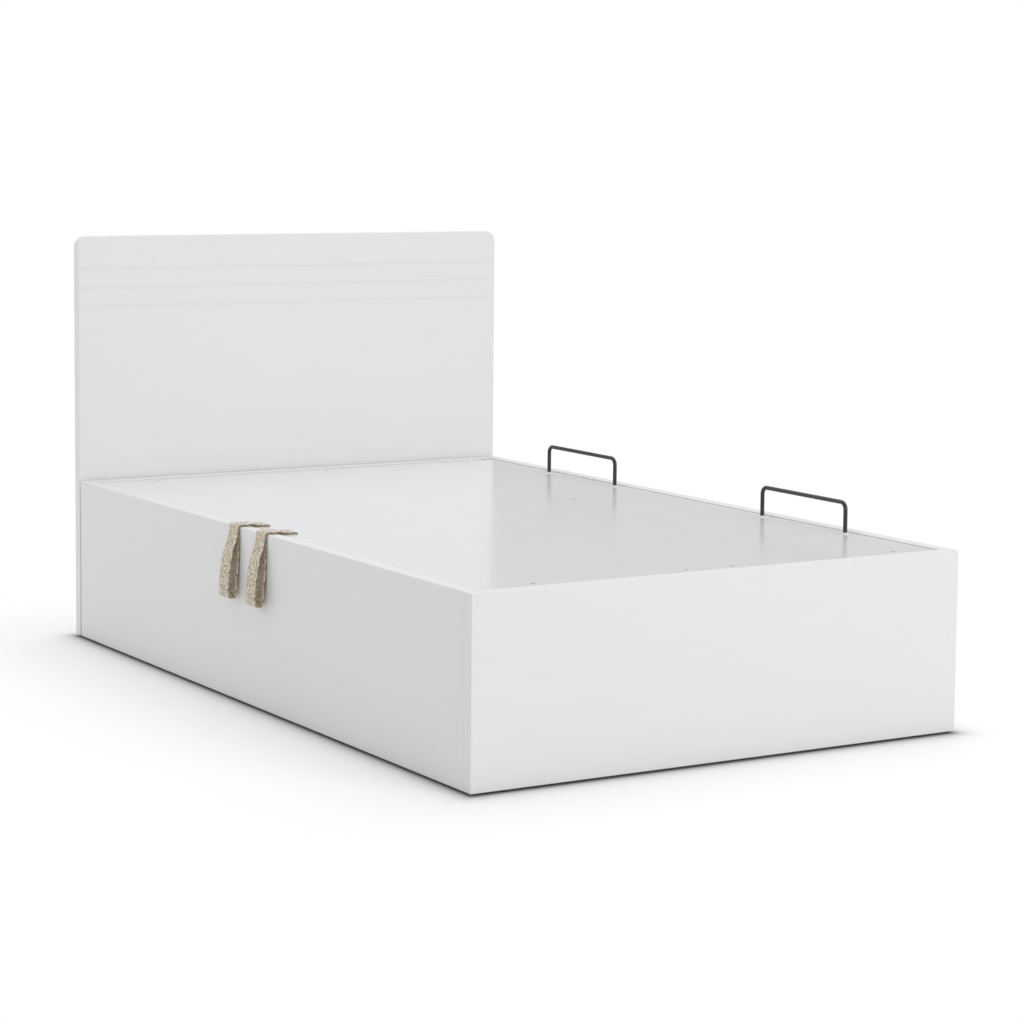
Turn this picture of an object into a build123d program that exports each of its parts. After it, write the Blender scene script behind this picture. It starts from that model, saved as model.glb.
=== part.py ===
from build123d import *
import os
from math import cos, degrees, hypot, radians, sin

# Side-opening ottoman bed. Millimetres, +Z up, +Y towards the headboard, +X towards the hinge side.
# The origin is under the middle foot of the centre beam, in the middle of the storage box.

# Storage box boards
box_width = 1260.0
box_length = 2031.0
board_height = 410.0
board_thickness = 30.0
board_edge_chamfer = 1.0
glide_height = 5.0
glide_radius = 12.0
glide_inset = 90.0

# Headboard
headboard_height = 1050.0
headboard_thickness = 30.0
headboard_gap = 7.0
headboard_corner_radius = 29.0
headboard_edge_chamfer = 1.2
groove_count = 3
groove_first = 83.0
groove_pitch = 49.5
groove_width = 8.0
groove_depth = 1.6
headboard_bolt_x = 420.0
headboard_bolt_heights = (130.0, 300.0)
headboard_bolt_radius = 4.0
headboard_bolt_reach = 18.0
headboard_bolt_head = 5.5
headboard_bolt_head_radius = 7.2
headboard_washer = 2.0
headboard_washer_radius = 12.0
spacer_radius = 16.0

# Lid boards
lid_recess = 3.0
lid_gap = 3.0
lid_thickness = 12.0
lid_seam = 1.0
lid_edge_chamfer = 0.7

# Lid frame of steel tube
end_tube_width = 40.0
end_tube_inset = 37.5
rail_width = 30.0
left_rail_inset = 20.0
right_rail_inset = 90.0
spine_width = 30.0
tube_height = 25.0
tube_wall = 1.5
tube_corner = 2.5
end_tube_side_gap = 8.0
cross_tube_rows = (-530.0, -150.0, 150.0, 530.0)

# Lid screws, with places read from the photograph
screw_columns = (-443.0, -60.0, 58.0, 500.0)
middle_screw_place = (342.0, 140.0)
screw_head_radius = 5.5
screw_head_depth = 3.0
screw_head_sunk = 0.3
screw_shank_radius = 2.5
screw_past_wall = 3.0

# Hinge at each end of the lid
pivot_inset = 20.0
pivot_below_rim = 12.0
hinge_pin_radius = 4.0
hinge_ear_radius = 9.0
hinge_plate = 3.0
hinge_washer = 0.9
hinge_play = 0.05
hinge_pin_head_radius = 7.0
hinge_pin_head = 2.2
hinge_pin_head_chamfer = 0.9
base_plate_past_stud = 25.0
base_plate_below_stud = 30.0
base_plate_above_stud = 45.0
base_plate_corner = (30.0, 40.0)
base_plate_neck = (12.0, 30.0)
base_plate_fillet = 4.5
arm_past_stud = 40.0
arm_depth = 33.0
arm_tip = (14.0, 8.0)
arm_heel = 16.0
arm_shoulder = 4.0
arm_fillet = 2.0
arm_flange_margin = 1.5
arm_flange_end = 55.0
arm_flange_corner = 10.0
arm_bolt_inset = 37.0
notch_margin = 4.0
notch_end_margin = 1.2
plate_bolt_radius = 3.0
plate_bolt_head = 4.0
plate_bolt_head_radius = 6.0
plate_bolt_reach = 20.0
bolts_from_low_stud = ((-15.0, 20.0), (35.0, 20.0), (7.0, -25.0))
bolt_from_pivot = (-10.0, -108.0)

# Gas strut at each end of the lid
strut_low_inset = 70.0
strut_low_height = 190.0
strut_high_inset = 220.0
strut_high_below_tube = 19.0
strut_depth = 20.0
strut_stud_radius = 4.0
strut_shoulder_radius = 6.0
strut_stud_head = 1.6
strut_stud_head_margin = 3.0
strut_eye_thickness = 10.0
eye_side_play = 0.3
eye_neck_radius = 4.8
low_eye_radius = 9.0
high_eye_radius = 11.5
high_eye_play = 3.6
cylinder_radius = 11.0
cylinder_wall = 1.5
cylinder_start = 20.0
cylinder_length = 160.0
cylinder_floor = 4.0
cylinder_guide = 12.0
cylinder_edge_chamfer = 1.2
rod_radius = 5.0
rod_play = 0.06
piston_length = 12.0
piston_lift = 5.0
high_eye_neck = 22.0

# Mattress retainers
retainer_centres = (-506.0, 474.0)
retainer_width = 326.0
retainer_height = 77.0
retainer_rod_radius = 5.0
retainer_bend_radius = 17.0
retainer_edge_distance = 20.5
retainer_hole_play = 0.3
socket_plate = 3.0
socket_depth = 18.0
socket_floor = 2.0
socket_wall = 3.0
socket_tab_radius = 13.0
socket_screw_dx = -35.0
socket_screw_dy = -50.0

# Pull straps on the opening side
strap_centres = (-65.0, 77.0)
strap_width = 50.0
strap_bend_from_face = 2.6
strap_bend_below_rim = 2.6
strap_bend_inner = 3.6
webbing = 2.4
webbing_gap = 0.3
strap_split_angle = 45.0
strap_split_gap = 1.0
strap_slot_inset = 43.0
strap_slot_play = 0.9
strap_lid_play = 0.3
strap_tail = 44.0
strap_landing = 3.0
strap_ramp = 4.0
strap_fold = 1.0
loop_drop = 164.0
loop_rear_lean = 0.27
loop_front_lean = 0.74
loop_rear_stand_off = 10.2
loop_front_stand_off = 31.0
anchor_plate = 2.5
anchor_length = 36.0
anchor_screw_spacing = 24.0
anchor_side_play = 1.0
anchor_screw_reach = 7.2

# Lid rests on the opening side
rest_rows = (-600.0, 0.0, 600.0)
rest_reach = 34.0
rest_length = 80.0
rest_height = 30.0
rest_chamfer = 18.0
rest_pad = 3.7
rest_play = 0.3
rest_pad_inset = 6.0

# Floor of the storage well
floor_panel = 8.0
floor_height = 30.0
floor_play = 1.0
batten_width = 20.0
batten_height = 18.0
strip_width = 22.0
strip_wall = 1.2
strip_play = 0.1
beam_width = 40.0
beam_height = 20.0
beam_foot_radius = 20.0
beam_foot_rows = (-640.0, 0.0, 640.0)

# Corner brackets
bracket_leg = 42.0
bracket_wall = 2.5
bracket_height = 60.0
bracket_low = 60.0
bracket_high = 285.0
bracket_screw_from_corner = 28.0
bracket_screw_radius = 2.5
bracket_screw_head_radius = 4.5
bracket_screw_head = 2.5
bracket_screw_reach = 20.0

# Clearance round fixed shanks, and how far a cut runs past the face it opens
hole_play = 0.05
cut_past = 1.0

# Places that follow from the sizes above
half_width = box_width / 2
half_length = box_length / 2
inner_x = half_width - board_thickness
inner_y = half_length - board_thickness
rim = glide_height + board_height
lid_top = rim - lid_recess
lid_under = lid_top - lid_thickness
tube_under = lid_under - tube_height
lid_x = inner_x - lid_gap
lid_y = inner_y - lid_gap
headboard_front = half_length + headboard_gap
end_tube_y = lid_y - end_tube_inset
left_rail_x = -(lid_x - left_rail_inset)
right_rail_x = lid_x - right_rail_inset
pivot_x = inner_x - pivot_inset
pivot_z = rim - pivot_below_rim
arm_outer = hinge_plate + hinge_washer + 2 * hinge_play
arm_inner = arm_outer + hinge_plate
pin_head_start = arm_inner + hinge_play
pin_head_end = pin_head_start + hinge_pin_head
arm_top = tube_under
arm_bottom = arm_top - arm_depth
arm_flange_y = arm_flange_margin + end_tube_y - end_tube_width / 2
strut_low = (inner_x - strut_low_inset, strut_low_height)
strut_high = (inner_x - strut_high_inset, tube_under - strut_high_below_tube)
strut_length = hypot(strut_high[0] - strut_low[0], strut_high[1] - strut_low[1])
arm_left = strut_high[0] - arm_past_stud
arm_right = inner_x - arm_flange_end
retainer_x = inner_x - retainer_edge_distance
strap_bend_x = -(half_width - strap_bend_from_face)
strap_bend_z = rim - strap_bend_below_rim
strap_slot_x = -(lid_x - strap_slot_inset)
strap_layers = 2 * webbing + webbing_gap
rest_top = tube_under - rest_play
rest_body_top = rest_top - rest_pad
strip_seat = floor_height - strip_play - strip_wall


def block(x0, x1, y0, y1, z0, z1):
    size = Box(x1 - x0, y1 - y0, z1 - z0)
    return Pos((x0 + x1) / 2, (y0 + y1) / 2, (z0 + z1) / 2) * size


def rod_x(x0, x1, y, z, radius):
    return Pos((x0 + x1) / 2, y, z) * Rot(0, 90, 0) * Cylinder(radius, x1 - x0)


def rod_y(x, y0, y1, z, radius):
    return Pos(x, (y0 + y1) / 2, z) * Rot(90, 0, 0) * Cylinder(radius, y1 - y0)


def rod_z(x, y, z0, z1, radius):
    return Pos(x, y, (z0 + z1) / 2) * Cylinder(radius, z1 - z0)


def across_y(outline, y, depth):
    """A plate with an outline in X and Z, from y towards the headboard."""
    return extrude(Plane.XZ.offset(-y) * outline, amount=-depth)


def at_head(shape):
    """The same piece at the head end of the bed."""
    return mirror(shape, about=Plane.XZ)


def from_foot(offset):
    """Y of a point that lies this far inside the foot board."""
    return offset - inner_y


def tube_section(width):
    outer = RectangleRounded(width, tube_height, tube_corner)
    inner = Rectangle(width - 2 * tube_wall, tube_height - 2 * tube_wall)
    return outer - inner


def tube_along_x(x0, x1, y, width):
    start = Plane(origin=(x0, y, lid_under - tube_height / 2), x_dir=(0, 1, 0), z_dir=(1, 0, 0))
    return extrude(start * tube_section(width), amount=x1 - x0)


def tube_along_y(x, y0, y1, width):
    start = Plane(origin=(x, y0, lid_under - tube_height / 2), x_dir=(-1, 0, 0), z_dir=(0, 1, 0))
    return extrude(start * tube_section(width), amount=y1 - y0)


# Storage box


def plate_bolt_points():
    points = [(strut_low[0] + dx, strut_low[1] + dz) for dx, dz in bolts_from_low_stud]
    return points + [(pivot_x + bolt_from_pivot[0], pivot_z + bolt_from_pivot[1])]


def bracket_spots():
    """Corner (x sign, y sign) and lower end of each bracket; the hinge plates fill the upper right."""
    spots = [(sx, sy, bracket_low) for sx in (-1, 1) for sy in (-1, 1)]
    spots += [(-1, sy, bracket_high) for sy in (-1, 1)]
    return spots


def bracket_screw_holes(radius):
    """Rods along the bracket screws' shanks, to cut from boards and brackets."""
    rods = []
    for sx, sy, low in bracket_spots():
        z = low + bracket_height / 2
        x_face, y_face = sx * inner_x, sy * inner_y
        x_in = x_face - sx * bracket_wall
        x_out = x_face + sx * (bracket_screw_reach - bracket_wall)
        y_in = y_face - sy * bracket_wall
        y_out = y_face + sy * (bracket_screw_reach - bracket_wall)
        along_y = y_face - sy * bracket_screw_from_corner
        along_x = x_face - sx * bracket_screw_from_corner
        rods.append(rod_x(min(x_in, x_out), max(x_in, x_out), along_y, z, radius))
        rods.append(rod_y(along_x, min(y_in, y_out), max(y_in, y_out), z, radius))
    return rods


def plate_bolt_holes(radius):
    y0 = -inner_y - plate_bolt_reach
    return [rod_y(x, y0, from_foot(hinge_plate), z, radius) for x, z in plate_bolt_points()]


def headboard_bolt_rods(y0, y1, radius):
    spots = [(x, z) for x in (-headboard_bolt_x, headboard_bolt_x) for z in headboard_bolt_heights]
    return [rod_y(x, y0, y1, z, radius) for x, z in spots]


def cut_all(shape, tools):
    for tool in tools:
        shape = shape - tool
    return shape


def eased_board(x0, x1, y0, y1):
    board = block(x0, x1, y0, y1, glide_height, rim)
    return chamfer(board.edges(), board_edge_chamfer)


def side_board(sign):
    x0, x1 = sorted((sign * inner_x, sign * half_width))
    board = eased_board(x0, x1, -inner_y, half_length)
    return cut_all(board, bracket_screw_holes(bracket_screw_radius + hole_play))


def foot_board():
    board = eased_board(-half_width, half_width, -half_length, -inner_y)
    board = cut_all(board, bracket_screw_holes(bracket_screw_radius + hole_play))
    return cut_all(board, plate_bolt_holes(plate_bolt_radius + hole_play))


def head_end_board():
    """Board between the side boards, with only its upper edges eased."""
    board = block(-inner_x, inner_x, inner_y, half_length, glide_height, rim)
    board = chamfer(board.edges().filter_by(Axis.X).group_by(Axis.Z)[-1], board_edge_chamfer)
    board = cut_all(board, bracket_screw_holes(bracket_screw_radius + hole_play))
    bolts = plate_bolt_holes(plate_bolt_radius + hole_play)
    board = cut_all(board, [at_head(bolt) for bolt in bolts])
    through = headboard_bolt_rods(inner_y, half_length, headboard_bolt_radius + hole_play)
    return cut_all(board, through)


def headboard():
    width, height, corner = box_width, headboard_height, headboard_corner_radius
    top = glide_height + height
    outline = FilletPolyline(
        (-width / 2, glide_height),
        (-width / 2, top),
        (width / 2, top),
        (width / 2, glide_height),
        radius=corner,
    )
    base_line = Line((width / 2, glide_height), (-width / 2, glide_height))
    face = make_face(outline.edges() + base_line.edges())
    board = across_y(face, headboard_front, headboard_thickness)
    board = chamfer(board.edges().filter_by(Axis.Y, reverse=True), headboard_edge_chamfer)
    for row in range(groove_count):
        z_top = top - groove_first - row * groove_pitch
        y1 = headboard_front + groove_depth
        board -= block(-width, width, headboard_front - cut_past, y1, z_top - groove_width, z_top)
    y1 = headboard_front + headboard_bolt_reach
    return cut_all(board, headboard_bolt_rods(headboard_front, y1, headboard_bolt_radius + hole_play))


def headboard_spacers():
    discs = headboard_bolt_rods(half_length, headboard_front, spacer_radius)
    holes = headboard_bolt_rods(half_length, headboard_front, headboard_bolt_radius + hole_play)
    return [disc - hole for disc, hole in zip(discs, holes)]


def headboard_bolts():
    """Hexagon bolts from inside the box, with large washers under their heads."""
    under_head = inner_y - headboard_washer
    outline = RegularPolygon(headboard_bolt_head_radius, 6)
    hexagon = across_y(outline, under_head - headboard_bolt_head, headboard_bolt_head)
    shanks = headboard_bolt_rods(under_head, headboard_front + headboard_bolt_reach, headboard_bolt_radius)
    washers = headboard_bolt_rods(under_head, inner_y, headboard_washer_radius)
    bolts = []
    for shank, washer in zip(shanks, washers):
        place = washer.center()
        bolts.append(Pos(place.X, 0, place.Z) * hexagon + shank + washer)
    return bolts


def corner_brackets():
    """Folded steel angles with a web across the fold."""
    brackets = []
    for sx, sy, low in bracket_spots():
        along_x = block(0, bracket_leg, 0, bracket_wall, 0, bracket_height)
        along_y = block(0, bracket_wall, 0, bracket_leg, 0, bracket_height)
        triangle = Polyline((0, 0), (bracket_leg, 0), (0, bracket_leg), close=True)
        web = extrude(make_face(triangle), bracket_wall)
        angle = Pos(0, 0, low) * (along_x + along_y + web)
        if sx > 0:
            angle = mirror(angle, about=Plane.YZ)
        if sy > 0:
            angle = mirror(angle, about=Plane.XZ)
        angle = Pos(sx * inner_x, sy * inner_y, 0) * angle
        brackets.append(cut_all(angle, bracket_screw_holes(bracket_screw_radius + hole_play)))
    return brackets


def bracket_screws():
    screws = []
    shanks = bracket_screw_holes(bracket_screw_radius)
    for index, (sx, sy, low) in enumerate(bracket_spots()):
        z = low + bracket_height / 2
        x_in = sx * (inner_x - bracket_wall)
        y_in = sy * (inner_y - bracket_wall)
        x_head = sorted((x_in, x_in - sx * bracket_screw_head))
        y_head = sorted((y_in, y_in - sy * bracket_screw_head))
        side_y = sy * (inner_y - bracket_screw_from_corner)
        end_x = sx * (inner_x - bracket_screw_from_corner)
        screws.append(rod_x(*x_head, side_y, z, bracket_screw_head_radius) + shanks[2 * index])
        screws.append(rod_y(end_x, *y_head, z, bracket_screw_head_radius) + shanks[2 * index + 1])
    return screws


def floor_glides():
    """Glides under the side boards, the foot board and the headboard."""
    side_x = half_width - board_thickness / 2
    side_rows = (half_length - glide_inset, -half_length / 3, half_length / 3)
    spots = [(sign * side_x, y) for sign in (-1, 1) for y in side_rows]
    end_x = half_width - glide_inset
    end_rows = (board_thickness / 2 - half_length, headboard_front + headboard_thickness / 2)
    spots += [(sign * end_x, y) for sign in (-1, 1) for y in end_rows]
    return [rod_z(x, y, 0, glide_height, glide_radius) for x, y in spots]


# Floor of the storage well


def floor_board(sign):
    x0, x1 = sorted((sign * strip_wall, sign * (inner_x - floor_play)))
    y1 = inner_y - floor_play
    return block(x0, x1, -y1, y1, floor_height, floor_height + floor_panel)


def floor_strip():
    """H-shaped strip that holds the two floor boards' edges."""
    z0 = floor_height - strip_play
    z1 = floor_height + floor_panel + strip_play
    y1 = inner_y - floor_play
    web = block(-strip_wall + strip_play, strip_wall - strip_play, -y1, y1, z0, z1)
    low = block(-strip_width / 2, strip_width / 2, -y1, y1, strip_seat, z0)
    high = block(-strip_width / 2, strip_width / 2, -y1, y1, z1, z1 + strip_wall)
    return web + low + high


def side_batten(sign):
    x0, x1 = sorted((sign * (inner_x - batten_width), sign * inner_x))
    end = inner_y - batten_width
    return block(x0, x1, -end, end, floor_height - batten_height, floor_height)


def end_batten(sign):
    y0, y1 = sorted((sign * (inner_y - batten_width), sign * inner_y))
    batten = block(-inner_x, inner_x, y0, y1, floor_height - batten_height, floor_height)
    notch_x = strip_width / 2 + floor_play
    return batten - block(-notch_x, notch_x, y0, y1, strip_seat - floor_play, floor_height)


def centre_beam():
    end = inner_y - batten_width
    return block(-beam_width / 2, beam_width / 2, -end, end, strip_seat - beam_height, strip_seat)


def beam_feet():
    return [rod_z(0, y, 0, strip_seat - beam_height, beam_foot_radius) for y in beam_foot_rows]


# Lid rests


def lid_rests():
    """Blocks on the left side board, with their inner lower edges cut off."""
    rests = []
    for y in rest_rows:
        y0, y1 = y - rest_length / 2, y + rest_length / 2
        body = block(-inner_x, -inner_x + rest_reach, y0, y1, rest_body_top - rest_height, rest_body_top)
        lower = body.edges().filter_by(Axis.Y).sort_by(lambda edge: edge.center().Z - edge.center().X)[0]
        rests.append(chamfer(lower, rest_chamfer))
    return rests


def lid_rest_pads():
    half = rest_length / 2 - rest_pad_inset
    x0, x1 = -inner_x + rest_pad_inset, -inner_x + rest_reach - rest_pad_inset
    return [block(x0, x1, y - half, y + half, rest_body_top, rest_top) for y in rest_rows]


# Hinge mechanism at the foot end; the head end is its mirror image


def hinge_base_outline():
    """Plate on the end board: a wide foot for the strut stud, narrowing up to the hinge ear."""
    right = pivot_x + hinge_ear_radius
    left = strut_low[0] - base_plate_past_stud
    bottom = strut_low[1] - base_plate_below_stud
    neck = pivot_x - hinge_ear_radius
    outline = FilletPolyline(
        (left, bottom),
        (right - base_plate_corner[0], bottom),
        (right, bottom + base_plate_corner[1]),
        (right, pivot_z - hinge_ear_radius),
        (neck, pivot_z - hinge_ear_radius),
        (neck - base_plate_neck[0], arm_bottom - base_plate_neck[1]),
        (left, strut_low[1] + base_plate_above_stud),
        radius=base_plate_fillet,
        close=True,
    )
    ear = Pos(pivot_x, pivot_z) * Circle(hinge_ear_radius)
    bridge = Pos(pivot_x, pivot_z - hinge_ear_radius) * Rectangle(2 * hinge_ear_radius, 2 * hinge_ear_radius)
    return make_face(outline) + ear + bridge


def hinge_base():
    y0, y1 = -inner_y, from_foot(hinge_plate)
    plate = across_y(hinge_base_outline(), y0, hinge_plate)
    plate -= rod_y(pivot_x, y0, y1, pivot_z, hinge_pin_radius + hole_play)
    plate -= rod_y(strut_low[0], y0, y1, strut_low[1], strut_stud_radius + hole_play)
    return cut_all(plate, plate_bolt_holes(plate_bolt_radius + hole_play))


def hinge_pin():
    shank = rod_y(pivot_x, -inner_y, from_foot(pin_head_start), pivot_z, hinge_pin_radius)
    head = rod_y(pivot_x, from_foot(pin_head_start), from_foot(pin_head_end), pivot_z, hinge_pin_head_radius)
    edge = head.edges().filter_by(GeomType.CIRCLE).sort_by(Axis.Y)[-1]
    return shank + chamfer(edge, hinge_pin_head_chamfer)


def hinge_washer_ring():
    y0, y1 = from_foot(hinge_plate), from_foot(hinge_plate + hinge_washer)
    ring = rod_y(pivot_x, y0, y1, pivot_z, hinge_ear_radius)
    return ring - rod_y(pivot_x, y0, y1, pivot_z, hinge_pin_radius + hinge_play)


def base_plate_bolts():
    hexagon = across_y(RegularPolygon(plate_bolt_head_radius, 6), from_foot(hinge_plate), plate_bolt_head)
    shanks = plate_bolt_holes(plate_bolt_radius)
    return [Pos(x, 0, z) * hexagon + shank for (x, z), shank in zip(plate_bolt_points(), shanks)]


def lid_arm_bolt_spots():
    return [(x, -end_tube_y) for x in (arm_left + arm_bolt_inset, arm_right - arm_bolt_inset)]


def lid_arm_outline():
    """Vertical web of the lid arm: a straight bar that rises to the hinge ear."""
    right = pivot_x + hinge_ear_radius
    neck = pivot_x - hinge_ear_radius
    outline = FilletPolyline(
        (arm_left, arm_top),
        (arm_left, arm_bottom + arm_tip[1]),
        (arm_left + arm_tip[0], arm_bottom),
        (neck - arm_heel, arm_bottom),
        (right, arm_top + arm_shoulder),
        (right, pivot_z - hinge_ear_radius),
        (neck, pivot_z - hinge_ear_radius),
        (arm_right, arm_top),
        radius=arm_fillet,
        close=True,
    )
    ear = Pos(pivot_x, pivot_z) * Circle(hinge_ear_radius)
    bridge = Pos(pivot_x, pivot_z - hinge_ear_radius) * Rectangle(2 * hinge_ear_radius, hinge_ear_radius)
    return make_face(outline) + ear + bridge


def lid_arm():
    """Folded steel arm: the web beside the base plate, and a flange bolted under the end tube."""
    y0, y1 = from_foot(arm_outer), from_foot(arm_inner)
    web = across_y(lid_arm_outline(), y0, hinge_plate)
    flange = block(arm_left, arm_right, y0, -arm_flange_y, arm_top - hinge_plate, arm_top)
    far = flange.edges().filter_by(Axis.Z).group_by(Axis.Y)[-1]
    arm = web + fillet(far, arm_flange_corner)
    arm -= rod_y(pivot_x, y0, y1, pivot_z, hinge_pin_radius + hinge_play)
    arm -= rod_y(strut_high[0], y0, y1, strut_high[1], strut_stud_radius + hole_play)
    for x, y in lid_arm_bolt_spots():
        arm -= rod_z(x, y, arm_top - hinge_plate, arm_top, plate_bolt_radius + hole_play)
    return arm


def lid_arm_bolts():
    bolts = []
    hexagon = extrude(RegularPolygon(plate_bolt_head_radius, 6), plate_bolt_head)
    for x, y in lid_arm_bolt_spots():
        z0 = arm_top - hinge_plate
        head = Pos(x, y, z0 - plate_bolt_head) * hexagon
        shank = rod_z(x, y, z0, arm_top + tube_wall + screw_past_wall, plate_bolt_radius)
        bolts.append(head + shank)
    return bolts


def strut_stud(x, z, root, plate_side, head_radius):
    """Stud with a shoulder that holds the strut clear of the plates."""
    near = strut_depth - strut_eye_thickness / 2 - eye_side_play
    far = strut_depth + strut_eye_thickness / 2 + eye_side_play
    pin = rod_y(x, from_foot(root), from_foot(far), z, strut_stud_radius)
    shoulder = rod_y(x, from_foot(plate_side), from_foot(near), z, strut_shoulder_radius)
    head = rod_y(x, from_foot(far), from_foot(far + strut_stud_head), z, head_radius)
    return pin + shoulder + head


def strut_frame():
    """Local frame of the strut: origin at the low stud, Z along the strut, X along the stud."""
    dx, dz = strut_high[0] - strut_low[0], strut_high[1] - strut_low[1]
    origin = (strut_low[0], from_foot(strut_depth), strut_low[1])
    return Plane(origin=origin, x_dir=(0, 1, 0), z_dir=(dx, 0, dz)).location


def eye(at, radius, bore, neck_from, neck_to, neck_radius):
    ring = Pos(0, 0, at) * Rot(0, 90, 0) * Cylinder(radius, strut_eye_thickness)
    neck = rod_z(0, 0, neck_from, neck_to, neck_radius)
    hole = Pos(0, 0, at) * Rot(0, 90, 0) * Cylinder(bore, strut_eye_thickness)
    return ring + neck - hole


def strut_low_eye():
    bore = strut_stud_radius + rod_play
    return strut_frame() * eye(0, low_eye_radius, bore, bore, cylinder_start, eye_neck_radius)


def strut_cylinder():
    start, end = cylinder_start, cylinder_start + cylinder_length
    outer = rod_z(0, 0, start, end, cylinder_radius)
    rims = outer.edges().filter_by(GeomType.CIRCLE)
    outer = chamfer(rims, cylinder_edge_chamfer)
    chamber = rod_z(0, 0, start + cylinder_floor, end - cylinder_guide, cylinder_radius - cylinder_wall)
    bore = rod_z(0, 0, end - cylinder_guide, end, rod_radius + rod_play)
    return strut_frame() * (outer - chamber - bore)


def strut_rod():
    piston_start = cylinder_start + cylinder_floor + piston_lift
    rod = rod_z(0, 0, piston_start, strut_length - high_eye_neck, rod_radius)
    piston_radius = cylinder_radius - cylinder_wall - rod_play
    piston = rod_z(0, 0, piston_start, piston_start + piston_length, piston_radius)
    return strut_frame() * (rod + piston)


def strut_high_eye():
    start = strut_length - high_eye_neck
    bore = strut_stud_radius + high_eye_play
    neck_end = strut_length - bore
    return strut_frame() * eye(strut_length, high_eye_radius, bore, start, neck_end, eye_neck_radius)


# Lid


def lid_screw_spots():
    rows = (-end_tube_y, end_tube_y)
    return [(x, y) for y in rows for x in screw_columns] + [middle_screw_place]


def lid_screws():
    screws = []
    for x, y in lid_screw_spots():
        bottom = lid_under - tube_wall - screw_past_wall
        screws.append(top_screw(x, y, bottom))
    return screws


def countersunk_head(x, y, play):
    """Cone of a lid screw's head; with play it is the seat to cut for one."""
    z = lid_top - screw_head_sunk - screw_head_depth / 2
    return Pos(x, y, z) * Cone(screw_shank_radius + play, screw_head_radius + play, screw_head_depth)


def top_screw(x, y, bottom):
    """Countersunk screw just below the lid's face, with a shank down to bottom."""
    shank_top = lid_top - screw_head_sunk - screw_head_depth
    return countersunk_head(x, y, 0) + rod_z(x, y, bottom, shank_top, screw_shank_radius)


def screw_seat(x, y):
    """Hole through the lid board for a countersunk screw."""
    mouth = rod_z(x, y, lid_top - screw_head_sunk, lid_top, screw_head_radius + hole_play)
    shank = rod_z(x, y, lid_under, lid_top - screw_head_depth, screw_shank_radius + hole_play)
    return shank + countersunk_head(x, y, hole_play) + mouth


def retainer_legs():
    """Centre line X and Y of each retainer leg."""
    return [(retainer_x, y + side * retainer_width / 2) for y in retainer_centres for side in (-1, 1)]


def lid_board(sign):
    x0, x1 = sorted((sign * lid_seam / 2, sign * lid_x))
    board = block(x0, x1, -lid_y, lid_y, lid_under, lid_top)
    board = chamfer(board.edges().group_by(Axis.Z)[-1], lid_edge_chamfer)
    spots = [(x, y) for x, y in lid_screw_spots() if sign * x > 0]
    return cut_all(board, [screw_seat(x, y) for x, y in spots])


def lid_board_left():
    board = lid_board(-1)
    slot_width = strap_layers + 2 * strap_slot_play
    for y in strap_centres:
        slot = SlotOverall(strap_width + slot_width, slot_width, rotation=90)
        board -= Pos(strap_slot_x, y, lid_under) * extrude(slot, lid_thickness)
        for x, spot_y in anchor_screw_spots(y):
            hole_end = lid_under + anchor_screw_reach + cut_past
            board -= rod_z(x, spot_y, lid_under, hole_end, screw_shank_radius + hole_play)
    return board


def lid_board_right():
    """Right board, with a notch for the hinge ears in both outer corners."""
    board = lid_board(1)
    notch_x = pivot_x - hinge_ear_radius - notch_margin
    notch_y = inner_y - pin_head_end - notch_end_margin
    for sign in (-1, 1):
        y0, y1 = sorted((sign * notch_y, sign * (lid_y + cut_past)))
        board -= block(notch_x, lid_x + cut_past, y0, y1, lid_under - cut_past, lid_top + cut_past)
    for x, y in retainer_legs():
        board -= rod_z(x, y, lid_under, lid_top, retainer_rod_radius + retainer_hole_play)
        board -= screw_seat(x + socket_screw_dx, y + socket_screw_dy)
    return board


def end_tube():
    reach = lid_x - end_tube_side_gap
    tube = tube_along_x(-reach, reach, -end_tube_y, end_tube_width)
    for x in screw_columns:
        z0 = lid_under - tube_wall - cut_past
        tube -= rod_z(x, -end_tube_y, z0, lid_under, screw_shank_radius + hole_play)
    for x, y in lid_arm_bolt_spots():
        tube -= rod_z(x, y, tube_under, tube_under + tube_wall + cut_past, plate_bolt_radius + hole_play)
    return tube


def long_rail(x):
    end = end_tube_y - end_tube_width / 2
    return tube_along_y(x, -end, end, rail_width)


def cross_tubes():
    x0, x1 = left_rail_x + rail_width / 2, right_rail_x - rail_width / 2
    tubes = []
    for row in cross_tube_rows:
        tube = tube_along_x(x0, x1, row, end_tube_width)
        x, y = middle_screw_place
        if abs(y - row) < end_tube_width / 2:
            z0 = lid_under - tube_wall - cut_past
            tube -= rod_z(x, y, z0, lid_under, screw_shank_radius + hole_play)
        tubes.append(tube)
    return tubes


def spine_tubes():
    """Short tubes under the seam, between the end tubes and the cross tubes."""
    stops = [-end_tube_y, *cross_tube_rows, end_tube_y]
    half = end_tube_width / 2
    return [tube_along_y(0, a + half, b - half, spine_width) for a, b in zip(stops, stops[1:])]


def retainer(y):
    floor = lid_under - socket_plate - socket_depth + socket_floor
    top = lid_top + retainer_height - retainer_rod_radius
    y0, y1 = y - retainer_width / 2, y + retainer_width / 2
    path = FilletPolyline(
        (retainer_x, y0, floor),
        (retainer_x, y0, top),
        (retainer_x, y1, top),
        (retainer_x, y1, floor),
        radius=retainer_bend_radius,
    )
    start = Plane(origin=(retainer_x, y0, floor), z_dir=(0, 0, 1))
    return sweep(start * Circle(retainer_rod_radius), path=path)


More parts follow.
